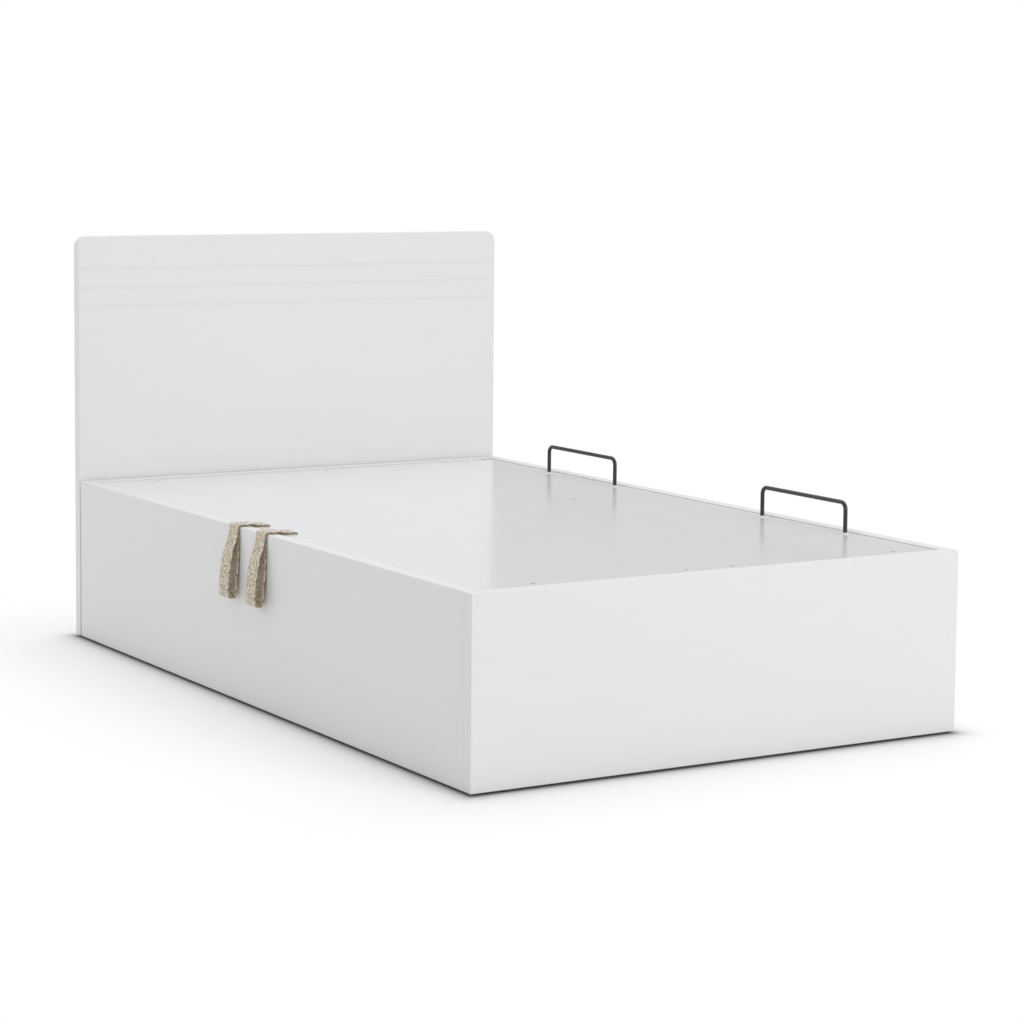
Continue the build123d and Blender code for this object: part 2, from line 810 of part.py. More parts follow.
def retainer_sockets():
    """Plates under the lid with a cup for each leg, held by a screw from above."""
    sockets = []
    z0 = lid_under - socket_plate
    for x, y in retainer_legs():
        screw_x, screw_y = x + socket_screw_dx, y + socket_screw_dy
        ends = Pos(x, y) * Circle(socket_tab_radius) + Pos(screw_x, screw_y) * Circle(socket_tab_radius)
        plate = Pos(0, 0, z0) * extrude(make_hull(ends.edges()), socket_plate)
        cup = rod_z(x, y, z0 - socket_depth, z0, retainer_rod_radius + socket_wall)
        bore = rod_z(x, y, z0 - socket_depth + socket_floor, lid_under, retainer_rod_radius + hole_play)
        hole = rod_z(screw_x, screw_y, z0, lid_under, screw_shank_radius + hole_play)
        sockets.append(plate + cup - bore - hole)
    return sockets


def retainer_screws():
    bottom = lid_under - socket_plate - screw_past_wall
    return [top_screw(x + socket_screw_dx, y + socket_screw_dy, bottom) for x, y in retainer_legs()]


# Pull straps


def bend_point(angle, radius):
    """Point on the strap's bend round the rim; 0 degrees is its top and 90 its outer side."""
    x = strap_bend_x - radius * sin(radians(angle))
    z = strap_bend_z + radius * cos(radians(angle))
    return (x, z)


def webbing_strip(path, y, thickness):
    """Flat strip swept along a path in X and Z."""
    start = path @ 0
    frame = Plane(origin=(start.X, start.Y, 0), x_dir=(0, 0, 1), z_dir=(path % 0))
    strip = sweep(frame * Rectangle(strap_width, thickness), path=path)
    return Pos(0, y, 0) * Rot(90, 0, 0) * strip


def strap_root(y):
    """Sewn double webbing: over the rim, along the lid, down its slot and under the lid."""
    radius = strap_bend_inner + strap_layers / 2
    first = bend_point(strap_split_angle - degrees_of(strap_split_gap / 2, radius), radius)
    middle = bend_point(strap_split_angle / 2, radius)
    top = bend_point(0, radius)
    on_lid = lid_top + strap_lid_play + strap_layers / 2
    below = lid_under - strap_lid_play - strap_layers / 2
    step = top[1] - on_lid
    landing = strap_landing - inner_x
    over = ThreePointArc(first, middle, top)
    run = FilletPolyline(
        top,
        (landing, top[1]),
        (landing + strap_ramp * step, on_lid),
        (strap_slot_x, on_lid),
        (strap_slot_x, below),
        (strap_slot_x + strap_tail, below),
        radius=strap_layers / 2 + strap_fold,
    )
    return webbing_strip(Wire(over.edges() + run.edges()), y, strap_layers)


def degrees_of(length, radius):
    return degrees(length / radius)


def loop_side(radius, stand_off, lean, bottom_z):
    """One half of a pull loop: end at the split, side of the bend, waist and lower end."""
    split = bend_point(strap_split_angle + degrees_of(strap_split_gap / 2, radius), radius)
    side = bend_point(90, radius)
    low = (-half_width - stand_off, bottom_z)
    waist = (side[0] + lean * (low[0] - side[0]), (side[1] + bottom_z) / 2)
    return split, side, waist, low


def strap_loop(y):
    """Open loop of webbing below the bend: down the rear, round the bottom and up the front."""
    rear = strap_bend_inner + webbing / 2
    front = rear + webbing + webbing_gap
    low_round = (loop_front_stand_off - loop_rear_stand_off) / 2
    bottom_z = strap_bend_z - loop_drop + low_round
    rear_half = loop_side(rear, loop_rear_stand_off, loop_rear_lean, bottom_z)
    front_half = loop_side(front, loop_front_stand_off, loop_front_lean, bottom_z)
    start, rear_side, rear_waist, rear_low = rear_half
    end, front_side, front_waist, front_low = front_half
    bottom = ((rear_low[0] + front_low[0]) / 2, bottom_z - low_round)
    halfway = (strap_split_angle + 90) / 2
    down, up = (0, -1), (0, 1)
    edges = [
        ThreePointArc(start, bend_point(halfway, rear), rear_side),
        Spline(rear_side, rear_waist, rear_low, tangents=(down, down)),
        ThreePointArc(rear_low, bottom, front_low),
        Spline(front_low, front_waist, front_side, tangents=(up, up)),
        ThreePointArc(front_side, bend_point(halfway, front), end),
    ]
    return webbing_strip(Wire([edge.edges()[0] for edge in edges]), y, webbing)


def anchor_screw_spots(y):
    x = strap_slot_x + strap_tail - anchor_length / 2
    return [(x, y + side * (strap_width + anchor_screw_spacing) / 2) for side in (-1, 1)]


def strap_anchors():
    """Clamp plates that press the strap tails against the lid's underside."""
    anchors = []
    for y in strap_centres:
        x1 = strap_slot_x + strap_tail
        half = strap_width / 2 + anchor_screw_spacing
        z1 = lid_under - 2 * strap_lid_play - strap_layers
        plate = block(x1 - anchor_length, x1, y - half, y + half, z1 - anchor_plate, z1)
        for side in (-1, 1):
            inner = y + side * (strap_width / 2 + anchor_side_play)
            y0, y1 = sorted((inner, y + side * half))
            plate += block(x1 - anchor_length, x1, y0, y1, z1, lid_under)
        for x, spot_y in anchor_screw_spots(y):
            plate -= rod_z(x, spot_y, z1 - anchor_plate, lid_under, screw_shank_radius + hole_play)
        anchors.append(plate)
    return anchors


def anchor_screws():
    screws = []
    z0 = lid_under - 2 * strap_lid_play - strap_layers - anchor_plate
    for y in strap_centres:
        for x, spot_y in anchor_screw_spots(y):
            head = rod_z(x, spot_y, z0 - bracket_screw_head, z0, bracket_screw_head_radius)
            shank = rod_z(x, spot_y, z0, lid_under + anchor_screw_reach, screw_shank_radius)
            screws.append(head + shank)
    return screws


def write(name, shape):
    solids = shape if isinstance(shape, list) else [shape]
    single = []
    for item in solids:
        single.extend(item.solids())
    part = single[0] if len(single) == 1 else Compound(children=single)
    export_step(part, f"parts/{name}.step")


def write_box():
    write("foot_board", foot_board())
    write("side_board_left", side_board(-1))
    write("side_board_right", side_board(1))
    write("head_end_board", head_end_board())
    write("headboard", headboard())
    write("headboard_spacers", headboard_spacers())
    write("headboard_bolts", headboard_bolts())
    write("corner_brackets", corner_brackets())
    write("bracket_screws", bracket_screws())
    write("floor_glides", floor_glides())
    write("floor_board_left", floor_board(-1))
    write("floor_board_right", floor_board(1))
    write("floor_strip", floor_strip())
    write("side_batten_left", side_batten(-1))
    write("side_batten_right", side_batten(1))
    write("end_batten_foot", end_batten(-1))
    write("end_batten_head", end_batten(1))
    write("centre_beam", centre_beam())
    write("beam_feet", beam_feet())
    write("lid_rests", lid_rests())
    write("lid_rest_pads", lid_rest_pads())


def write_both_ends(name, shape):
    write(f"{name}_foot", shape)
    mirrored = [at_head(item) for item in shape] if isinstance(shape, list) else at_head(shape)
    write(f"{name}_head", mirrored)


def write_mechanism():
    low_head = strut_stud_radius + strut_stud_head_margin
    high_head = low_head + high_eye_play
    low_stud = strut_stud(*strut_low, 0, hinge_plate, low_head)
    high_stud = strut_stud(*strut_high, arm_outer, arm_inner, high_head)
    write_both_ends("hinge_base", hinge_base())
    write_both_ends("hinge_pin", hinge_pin())
    write_both_ends("lid_arm", lid_arm())
    write_both_ends("strut_low_eye", strut_low_eye())
    write_both_ends("strut_cylinder", strut_cylinder())
    write_both_ends("strut_rod", strut_rod())
    write_both_ends("strut_high_eye", strut_high_eye())
    washer = hinge_washer_ring()
    write("hinge_washers", [washer, at_head(washer)])
    write("strut_low_studs", [low_stud, at_head(low_stud)])
    write("strut_high_studs", [high_stud, at_head(high_stud)])
    bolts = base_plate_bolts()
    write("hinge_base_bolts", bolts + [at_head(bolt) for bolt in bolts])
    bolts = lid_arm_bolts()
    write("lid_arm_bolts", bolts + [at_head(bolt) for bolt in bolts])


def write_lid():
    write("lid_board_left", lid_board_left())
    write("lid_board_right", lid_board_right())
    write("lid_rail_left", long_rail(left_rail_x))
    write("lid_rail_right", long_rail(right_rail_x))
    tube = end_tube()
    write("lid_end_tube_foot", tube)
    write("lid_end_tube_head", at_head(tube))
    write("lid_cross_tubes", cross_tubes())
    write("lid_spine_tubes", spine_tubes())
    write("lid_screws", lid_screws())
    write("retainer_foot", retainer(retainer_centres[0]))
    write("retainer_head", retainer(retainer_centres[1]))
    write("retainer_sockets", retainer_sockets())
    write("retainer_screws", retainer_screws())


def write_straps():
    write("pull_strap_foot", strap_root(strap_centres[0]))
    write("pull_strap_head", strap_root(strap_centres[1]))
    write("pull_loop_foot", strap_loop(strap_centres[0]))
    write("pull_loop_head", strap_loop(strap_centres[1]))
    write("strap_anchors", strap_anchors())
    write("strap_anchor_screws", anchor_screws())


os.makedirs("parts", exist_ok=True)
write_box()
write_mechanism()
write_lid()
write_straps()
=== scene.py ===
"""Looks of the side-opening ottoman bed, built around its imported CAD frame."""

import math

import bmesh
import bpy
from mathutils import Matrix, Vector


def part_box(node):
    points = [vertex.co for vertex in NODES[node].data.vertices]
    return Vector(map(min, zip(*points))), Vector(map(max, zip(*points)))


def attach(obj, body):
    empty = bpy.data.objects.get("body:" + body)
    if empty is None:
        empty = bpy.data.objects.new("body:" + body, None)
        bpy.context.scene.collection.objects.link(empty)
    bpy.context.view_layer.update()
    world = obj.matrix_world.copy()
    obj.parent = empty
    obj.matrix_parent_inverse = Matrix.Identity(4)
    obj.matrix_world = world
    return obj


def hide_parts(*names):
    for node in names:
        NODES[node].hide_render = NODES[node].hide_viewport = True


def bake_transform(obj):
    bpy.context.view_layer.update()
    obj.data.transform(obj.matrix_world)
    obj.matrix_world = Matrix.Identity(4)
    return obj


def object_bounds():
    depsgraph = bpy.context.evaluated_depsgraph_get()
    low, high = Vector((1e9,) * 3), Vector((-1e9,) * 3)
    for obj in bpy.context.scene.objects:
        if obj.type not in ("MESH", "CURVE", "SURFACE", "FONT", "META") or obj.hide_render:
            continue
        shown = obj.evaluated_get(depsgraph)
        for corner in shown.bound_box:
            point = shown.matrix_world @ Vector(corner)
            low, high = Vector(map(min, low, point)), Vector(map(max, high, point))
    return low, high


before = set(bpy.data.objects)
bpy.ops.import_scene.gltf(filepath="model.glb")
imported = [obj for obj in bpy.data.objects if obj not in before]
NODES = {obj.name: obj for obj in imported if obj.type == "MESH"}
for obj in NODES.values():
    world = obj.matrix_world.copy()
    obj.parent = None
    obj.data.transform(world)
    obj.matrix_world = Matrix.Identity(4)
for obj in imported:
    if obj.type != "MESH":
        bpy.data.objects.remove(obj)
CAD_BOX = [list(corner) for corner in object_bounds()]

bl_info = {
    "name": "Ottoman Bed Looks",
    "version": (1, 0, 0),
    "blender": (4, 5, 0),
    "location": "View3D > Sidebar > Ottoman Bed",
    "description": "Finishes, webbing straps, fasteners and studio for a side-opening ottoman bed",
    "category": "Object",
}

# Heights and faces that the CAD frame gives, in metres.
RIM_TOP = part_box("side_board_left")[1].z
LEFT_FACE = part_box("side_board_left")[0].x
INNER_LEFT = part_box("side_board_left")[1].x
LID_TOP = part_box("lid_board_left")[1].z
LID_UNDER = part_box("lid_board_left")[0].z
LID_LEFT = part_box("lid_board_left")[0].x

# Colours of the parts that the photo hides or shows only as small marks.
FRAME_GREY = (0.15, 0.152, 0.158)
HINGE_BLACK = (0.045, 0.045, 0.048)
RETAINER_BLACK = (0.018, 0.018, 0.020)
STRUT_BLACK = (0.028, 0.028, 0.030)
ZINC = (0.62, 0.63, 0.645)
EYE_STEEL = (0.46, 0.46, 0.47)
SCREW_NICKEL = (0.30, 0.30, 0.315)
CHROME = (0.78, 0.79, 0.80, 1)
PLASTIC_BLACK = (0.055, 0.055, 0.057)
RUBBER_BLACK = (0.04, 0.04, 0.04)
STRIP_WHITE = (0.85, 0.85, 0.85)
WASHER_NYLON = (0.82, 0.81, 0.78)
COLLAR_NYLON = (0.80, 0.80, 0.79)


# Properties.


class BoardFinish(bpy.types.PropertyGroup):
    """Colours and gloss of the white boards."""

    foil_colour: bpy.props.FloatVectorProperty(
        name="Foil colour", description="White foil on the box and the headboard",
        subtype="COLOR", size=4, min=0, max=1, default=(0.86, 0.862, 0.865, 1))
    foil_shade: bpy.props.FloatVectorProperty(
        name="Grain colour", description="Slightly darker lines of the printed grain",
        subtype="COLOR", size=4, min=0, max=1, default=(0.848, 0.850, 0.854, 1))
    foil_roughness: bpy.props.FloatProperty(
        name="Foil roughness", description="How dull the foil is", min=0, max=1, default=0.46)
    lid_colour: bpy.props.FloatVectorProperty(
        name="Lid colour", description="Semi-gloss white of the lid boards",
        subtype="COLOR", size=4, min=0, max=1, default=(0.855, 0.86, 0.87, 1))
    lid_roughness: bpy.props.FloatProperty(
        name="Lid roughness", description="How blurred the lid mirrors the headboard",
        min=0, max=1, default=0.17)


class WebbingFinish(bpy.types.PropertyGroup):
    """Yarn, ribs and thickness of the webbing of the pull straps."""

    light_yarn: bpy.props.FloatVectorProperty(
        name="Light yarn", description="Colour of the raised yarn",
        subtype="COLOR", size=4, min=0, max=1, default=(0.93, 0.83, 0.66, 1))
    # Dark colour of the low yarn between the ribs; partly the yarn's own colour, partly painted shade.
    dark_yarn_and_rib_shade: bpy.props.FloatVectorProperty(
        name="Dark yarn", description="Colour between the ribs",
        subtype="COLOR", size=4, min=0, max=1, default=(0.12, 0.085, 0.045, 1))
    width: bpy.props.FloatProperty(
        name="Width", description="Width of the webbing", unit="LENGTH", default=0.050)
    thickness: bpy.props.FloatProperty(
        name="Thickness", description="Thickness of one layer over its ribs", unit="LENGTH", default=0.0024)
    rib_pitch: bpy.props.FloatProperty(
        name="Rib pitch", description="Distance between two ribs", unit="LENGTH", default=0.0056)
    rib_height: bpy.props.FloatProperty(
        name="Rib height", description="How far a rib stands up", unit="LENGTH", default=0.00038)
    column_pitch: bpy.props.FloatProperty(
        name="Column pitch", description="Width of one column of the weave", unit="LENGTH", default=0.0062)


class TrimSizes(bpy.types.PropertyGroup):
    """Sizes of the small parts that only show up close."""

    screw_depth: bpy.props.FloatProperty(
        name="Countersink depth", description="Depth of a lid screw's cone", unit="LENGTH", default=0.0030)
    shank_radius: bpy.props.FloatProperty(
        name="Shank radius", description="Radius of a lid screw's shank", unit="LENGTH", default=0.0025)
    collar_radius: bpy.props.FloatProperty(
        name="Collar radius", description="Radius of the nylon ring round a retainer's foot",
        unit="LENGTH", default=0.0095)
    collar_height: bpy.props.FloatProperty(
        name="Collar height", description="Height of the nylon ring", unit="LENGTH", default=0.0025)
    cap_radius: bpy.props.FloatProperty(
        name="Cover cap radius", description="Radius of the cap on the right rim",
        unit="LENGTH", default=0.0055)


class StudioSettings(bpy.types.PropertyGroup):
    """Light, floor and camera of the studio."""

    ambient: bpy.props.FloatProperty(
        name="Ambient light", description="Even light from all sides", min=0, default=0.73)
    overhead_power: bpy.props.FloatProperty(
        name="Overhead lamp", description="Power of the large lamp above the bed", unit="POWER", default=44)
    front_power: bpy.props.FloatProperty(
        name="Front lamp", description="Power of the soft lamp before the foot end", unit="POWER", default=80)
    side_power: bpy.props.FloatProperty(
        name="Side lamp", description="Power of the lamp beside the head end", unit="POWER", default=8)
    card_level: bpy.props.FloatProperty(
        name="Reflection card", description="Brightness of the grey card that the lid mirrors",
        min=0, default=0.46)
    floor_white: bpy.props.FloatProperty(
        name="Floor white", description="Brightness of the floor as the camera sees it", min=0, default=1.10)
    floor_bounce: bpy.props.FloatProperty(
        name="Floor bounce", description="Share of light that the floor sends back to the bed",
        min=0, max=1, default=0.80)
    # The next two set a painted contact shadow: the floor's colour darkens near the box, over a set reach.
    painted_contact_shadow: bpy.props.FloatProperty(
        name="Contact shade", description="How dark the floor is right at the box",
        min=0, max=1, default=0.68)
    painted_shadow_reach: bpy.props.FloatProperty(
        name="Contact reach", description="How far the contact shade reaches",
        unit="LENGTH", default=0.022)
    lens: bpy.props.FloatProperty(
        name="Lens", description="Focal length of the camera in millimetres", default=98.91)


# Material helpers.


def link(tree, output, socket):
    """Joins an output to a socket."""
    tree.links.new(output, socket)


def math_node(tree, operation, first, second=None):
    """One Math node; each value is a number or an output."""
    node = tree.nodes.new("ShaderNodeMath")
    node.operation = operation
    for socket, value in zip(node.inputs, (first, second)):
        if value is None:
            continue
        if isinstance(value, (int, float)):
            socket.default_value = value
        else:
            link(tree, value, socket)
    return node.outputs[0]


def start_material(name):
    """New material and its tree and shader."""
    material = bpy.data.materials.new(name)
    material.use_nodes = True
    tree = material.node_tree
    return material, tree, tree.nodes["Principled BSDF"]


def object_space(tree, stretch=(1, 1, 1)):
    """Object coordinates, stretched."""
    coordinates = tree.nodes.new("ShaderNodeTexCoord")
    mapping = tree.nodes.new("ShaderNodeMapping")
    mapping.inputs["Scale"].default_value = stretch
    link(tree, coordinates.outputs["Object"], mapping.inputs["Vector"])
    return mapping.outputs[0]


def noise(tree, vector, scale, detail=3.0, roughness=0.5, distortion=0.0):
    """Noise texture between 0 and 1."""
    node = tree.nodes.new("ShaderNodeTexNoise")
    node.inputs["Scale"].default_value = scale
    node.inputs["Detail"].default_value = detail
    node.inputs["Roughness"].default_value = roughness
    node.inputs["Distortion"].default_value = distortion
    link(tree, vector, node.inputs["Vector"])
    return node.outputs[0]


def ramp(tree, value, stops):
    """Colour ramp; stops are (place, colour)."""
    node = tree.nodes.new("ShaderNodeValToRGB")
    elements = node.color_ramp.elements
    while len(elements) < len(stops):
        elements.new(0.5)
    for element, (place, colour) in zip(elements, stops):
        element.position = place
        element.color = tuple(colour)
    link(tree, value, node.inputs[0])
    return node.outputs[0]


def between(tree, value, low, high):
    """Maps a value from 0..1 to low..high."""
    node = tree.nodes.new("ShaderNodeMapRange")
    node.inputs["To Min"].default_value = low
    node.inputs["To Max"].default_value = high
    link(tree, value, node.inputs["Value"])
    return node.outputs[0]


def multiplied(tree, first, second):
    """Two colours multiplied."""
    mixed = tree.nodes.new("ShaderNodeMix")
    mixed.data_type = "RGBA"
    mixed.blend_type = "MULTIPLY"
    mixed.inputs["Factor"].default_value = 1.0
    link(tree, first, mixed.inputs["A"])
    link(tree, second, mixed.inputs["B"])
    return mixed.outputs["Result"]


def bump(tree, shader, height, depth, strength=1.0, under=None):
    """Bump of a depth in metres on a shader, over another bump if one is given."""
    node = tree.nodes.new("ShaderNodeBump")
    node.inputs["Distance"].default_value = depth
    node.inputs["Strength"].default_value = strength
    link(tree, height, node.inputs["Height"])
    if under is not None:
        link(tree, under, node.inputs["Normal"])
    link(tree, node.outputs[0], shader.inputs["Normal"])
    return node.outputs[0]


def scaled(colour, factor):
    """A lighter or darker colour."""
    return tuple(channel * factor for channel in colour[:3]) + (1.0,)


def dress(material, *names):
    """Gives CAD nodes this material."""
    for name in names:
        slots = NODES[name].material_slots
        if not slots:
            raise RuntimeError(f"{name} has no material slot")
        for slot in slots:
            slot.material = material


# Materials.


def foil_material(name, along, finish):
    """White foil with a fine printed grain along one axis."""
    material, tree, shader = start_material(name)
    stretch = [60.0, 60.0, 60.0]
    stretch["XYZ".index(along)] = 1.6
    space = object_space(tree, stretch)
    lines = noise(tree, space, 5.0, 6.0, 0.62, 0.4)
    clouds = noise(tree, object_space(tree), 2.2, 2.0)
    colour = ramp(tree, lines, [(0.38, finish.foil_shade), (0.62, finish.foil_colour)])
    tint = ramp(tree, clouds, [(0.35, (0.992, 0.993, 0.996, 1)), (0.7, (1, 1, 1, 1))])
    link(tree, multiplied(tree, colour, tint), shader.inputs["Base Color"])
    low, high = finish.foil_roughness - 0.05, finish.foil_roughness + 0.05
    link(tree, between(tree, lines, high, low), shader.inputs["Roughness"])
    bump(tree, shader, lines, 0.00004, 0.35)
    return material


def lid_material(finish):
    """Smooth semi-gloss board with a very slight waviness."""
    material, tree, shader = start_material("lid semi-gloss white")
    space = object_space(tree)
    waves = noise(tree, space, 9.0, 2.0)
    fine = noise(tree, space, 240.0, 2.0)
    clouds = noise(tree, space, 1.4, 3.0)
    colour = ramp(tree, clouds, [(0.3, scaled(finish.lid_colour, 0.992)), (0.7, finish.lid_colour)])
    link(tree, colour, shader.inputs["Base Color"])
    low, high = finish.lid_roughness - 0.02, finish.lid_roughness + 0.03
    link(tree, between(tree, waves, low, high), shader.inputs["Roughness"])
    slow = bump(tree, shader, waves, 0.0001, 0.25)
    bump(tree, shader, fine, 0.00002, 0.2, slow)
    return material


def powder_coat(name, colour, roughness, grain=900.0, depth=0.00004):
    """Powder coat: small orange-peel waves under an even colour."""
    material, tree, shader = start_material(name)
    space = object_space(tree)
    peel = noise(tree, space, grain, 2.0, 0.5)
    patches = noise(tree, space, 14.0, 3.0)
    tone = ramp(tree, patches, [(0.3, scaled(colour, 0.86)), (0.7, scaled(colour, 1.12))])
    link(tree, tone, shader.inputs["Base Color"])
    link(tree, between(tree, patches, roughness - 0.04, roughness + 0.06), shader.inputs["Roughness"])
    bump(tree, shader, peel, depth, 0.5)
    return material


def plated_metal(name, colour, roughness, spangle=60.0):
    """Zinc or nickel plating with cloudy gloss and a faint tint."""
    material, tree, shader = start_material(name)
    shader.inputs["Metallic"].default_value = 1.0
    space = object_space(tree)
    clouds = noise(tree, space, spangle, 4.0, 0.6)
    fine = noise(tree, space, spangle * 20, 2.0)
    tone = ramp(tree, clouds, [(0.3, scaled(colour, 0.82)), (0.7, scaled(colour, 1.08))])
    link(tree, tone, shader.inputs["Base Color"])
    link(tree, between(tree, clouds, roughness - 0.08, roughness + 0.10), shader.inputs["Roughness"])
    bump(tree, shader, fine, 0.00002, 0.3)
    return material


def chrome_material():
    """Hard chrome with fine turning lines round the rod."""
    material, tree, shader = start_material("strut rod hard chrome")
    shader.inputs["Metallic"].default_value = 1.0
    shader.inputs["Base Color"].default_value = CHROME
    space = object_space(tree)
    lines = noise(tree, space, 1500.0, 1.0)
    link(tree, between(tree, lines, 0.05, 0.13), shader.inputs["Roughness"])
    bump(tree, shader, lines, 0.000004, 0.4)
    return material


def pine_material(name, along):
    """Sanded pine with rings, fibres and darker late wood."""
    material, tree, shader = start_material(name)
    stretch = [18.0, 18.0, 18.0]
    stretch["XYZ".index(along)] = 0.9
    space = object_space(tree, stretch)
    rings = noise(tree, space, 3.0, 4.0, 0.55, 1.6)
    fine_stretch = [260.0, 260.0, 260.0]
    fine_stretch["XYZ".index(along)] = 6.0
    fibres = noise(tree, object_space(tree, fine_stretch), 3.0, 3.0)
    tone = ramp(tree, rings, [
        (0.30, (0.50, 0.34, 0.18, 1)),
        (0.42, (0.70, 0.53, 0.33, 1)),
        (0.60, (0.76, 0.61, 0.41, 1)),
        (0.75, (0.66, 0.49, 0.29, 1)),
    ])
    shade = ramp(tree, fibres, [(0.3, (0.88, 0.86, 0.83, 1)), (0.65, (1, 1, 1, 1))])
    link(tree, multiplied(tree, tone, shade), shader.inputs["Base Color"])
    link(tree, between(tree, fibres, 0.5, 0.68), shader.inputs["Roughness"])
    bump(tree, shader, fibres, 0.00012, 0.6)
    return material


def moulded_material(name, colour, roughness, grain=500.0, depth=0.00005):
    """Moulded plastic or rubber with a fine spark-eroded grain."""
    material, tree, shader = start_material(name)
    space = object_space(tree)
    texture = noise(tree, space, grain, 3.0, 0.6)
    patches = noise(tree, space, 30.0, 2.0)
    tone = ramp(tree, patches, [(0.3, scaled(colour, 0.93)), (0.7, scaled(colour, 1.05))])
    link(tree, tone, shader.inputs["Base Color"])
    link(tree, between(tree, texture, roughness - 0.05, roughness + 0.07), shader.inputs["Roughness"])
    bump(tree, shader, texture, depth, 0.4)
    return material


def hardboard_material():
    """White painted hardboard of the storage floor."""
    material, tree, shader = start_material("storage floor hardboard")
    space = object_space(tree)
    pebble = noise(tree, space, 320.0, 4.0, 0.65)
    clouds = noise(tree, space, 3.0, 3.0)
    tone = ramp(tree, clouds, [(0.3, (0.79, 0.79, 0.785, 1)), (0.7, (0.83, 0.83, 0.83, 1))])
    link(tree, tone, shader.inputs["Base Color"])
    link(tree, between(tree, pebble, 0.5, 0.66), shader.inputs["Roughness"])
    bump(tree, shader, pebble, 0.00008, 0.5)
    return material


# Shares of the webbing's ribs, columns, fibres and speckle in the height of its yarn; the height sets the
# colour too, so the low places between ribs and columns get painted shade.
RIB_WEIGHT = 0.32
COLUMN_WEIGHT = 0.40
FIBRE_WEIGHT = 0.55
SPECKLE_WEIGHT = 2.4
YARN_SCALE = 0.5


def webbing_material(finish):
    """Webbing of thick yarn, in the strap's own UV map.

    Ribs run across it, each column half a rib further on, and loose noise speckles the yarn. The colour
    follows the yarn's height: the low places between ribs and columns are darkened as painted shade, with
    random speckle over it.
    """
    material, tree, shader = start_material("webbing beige")
    shader.inputs["Roughness"].default_value = 0.88
    shader.inputs["Sheen Weight"].default_value = 0.25
    shader.inputs["Sheen Roughness"].default_value = 0.5
    coordinates = tree.nodes.new("ShaderNodeTexCoord")
    parts = tree.nodes.new("ShaderNodeSeparateXYZ")
    link(tree, coordinates.outputs["UV"], parts.inputs[0])
    along, across = parts.outputs[0], parts.outputs[1]
    columns = math_node(tree, "MULTIPLY", across, 1 / finish.column_pitch)
    column = math_node(tree, "FLOOR", columns)
    offset = math_node(tree, "MULTIPLY", column, 0.5)
    rows = math_node(tree, "MULTIPLY", along, 1 / finish.rib_pitch)
    phase = math_node(tree, "MULTIPLY", math_node(tree, "ADD", rows, offset), 2 * math.pi)
    wave = math_node(tree, "COSINE", phase)
    half_turns = math_node(tree, "MULTIPLY", columns, math.pi)
    crown = math_node(tree, "ABSOLUTE", math_node(tree, "SINE", half_turns))
    rib = math_node(tree, "MULTIPLY", wave, RIB_WEIGHT)
    ridge = math_node(tree, "MULTIPLY", crown, COLUMN_WEIGHT)
    height = math_node(tree, "ADD", rib, ridge)
    fibres = noise(tree, coordinates.outputs["UV"], 900.0)
    loose = noise(tree, coordinates.outputs["UV"], 150.0, 2.0)
    weave = math_node(tree, "ADD", height, math_node(tree, "MULTIPLY", fibres, FIBRE_WEIGHT))
    speckled = math_node(tree, "ADD", weave, math_node(tree, "MULTIPLY", loose, SPECKLE_WEIGHT))
    yarn = math_node(tree, "MULTIPLY", speckled, YARN_SCALE)
    middle = tuple((a + b) / 2 for a, b in zip(finish.dark_yarn_and_rib_shade, finish.light_yarn))
    # Colour by height: darker between ribs and columns is painted shade; the speckle is random tone.
    tone = ramp(tree, yarn, [(0.68, finish.dark_yarn_and_rib_shade), (0.80, middle), (0.93, finish.light_yarn)])
    link(tree, tone, shader.inputs["Base Color"])
    bump(tree, shader, yarn, 0.0005, 0.8)
    return material


# Mesh helpers.


def piece_from(name, mesh_builder, material, body):
    """Makes a piece at the origin with a mesh builder; it rides on a body if one is given."""
    bm = bmesh.new()
    mesh_builder(bm)
    mesh = bpy.data.meshes.new(name)
    bm.to_mesh(mesh)
    bm.free()
    piece = bpy.data.objects.new(name, mesh)
    bpy.context.scene.collection.objects.link(piece)
    mesh.materials.append(material)
    if body:
        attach(piece, body)
    return piece


def loop_edges(verts):
    """Edges between the given vertices."""
    chosen = set(verts)
    found = set()
    for vert in verts:
        found.update(edge for edge in vert.link_edges if edge.other_vert(vert) in chosen)
    return list(found)


def add_mesh(bm, single, matrix):
    """Adds a small bmesh to a larger one at a place, and frees it."""
    bmesh.ops.transform(single, matrix=matrix, verts=single.verts)
    mesh = bpy.data.meshes.new("one of many")
    single.to_mesh(mesh)
    single.free()
    bm.from_mesh(mesh)
    bpy.data.meshes.remove(mesh)


# Pull straps.


class Route:
    """Line in X and Z that a strap follows, read by its length from the start."""

    def __init__(self, points):
        self.points = [Vector(point) for point in points]
        self.marks = [0.0]
        for a, b in zip(self.points, self.points[1:]):
            self.marks.append(self.marks[-1] + (b - a).length)
        self.length = self.marks[-1]

    def at(self, distance):
        """Point at a distance from the start."""
        distance = min(max(distance, 0.0), self.length)
        index = 0
        low, high = 0, len(self.marks) - 2
        while low <= high:
            index = (low + high) // 2
            if self.marks[index + 1] < distance:
                low = index + 1
            elif self.marks[index] > distance:
                high = index - 1
            else:
                break
        a, b = self.points[index], self.points[index + 1]
        step = self.marks[index + 1] - self.marks[index]
        share = (distance - self.marks[index]) / step
        return a.lerp(b, share)


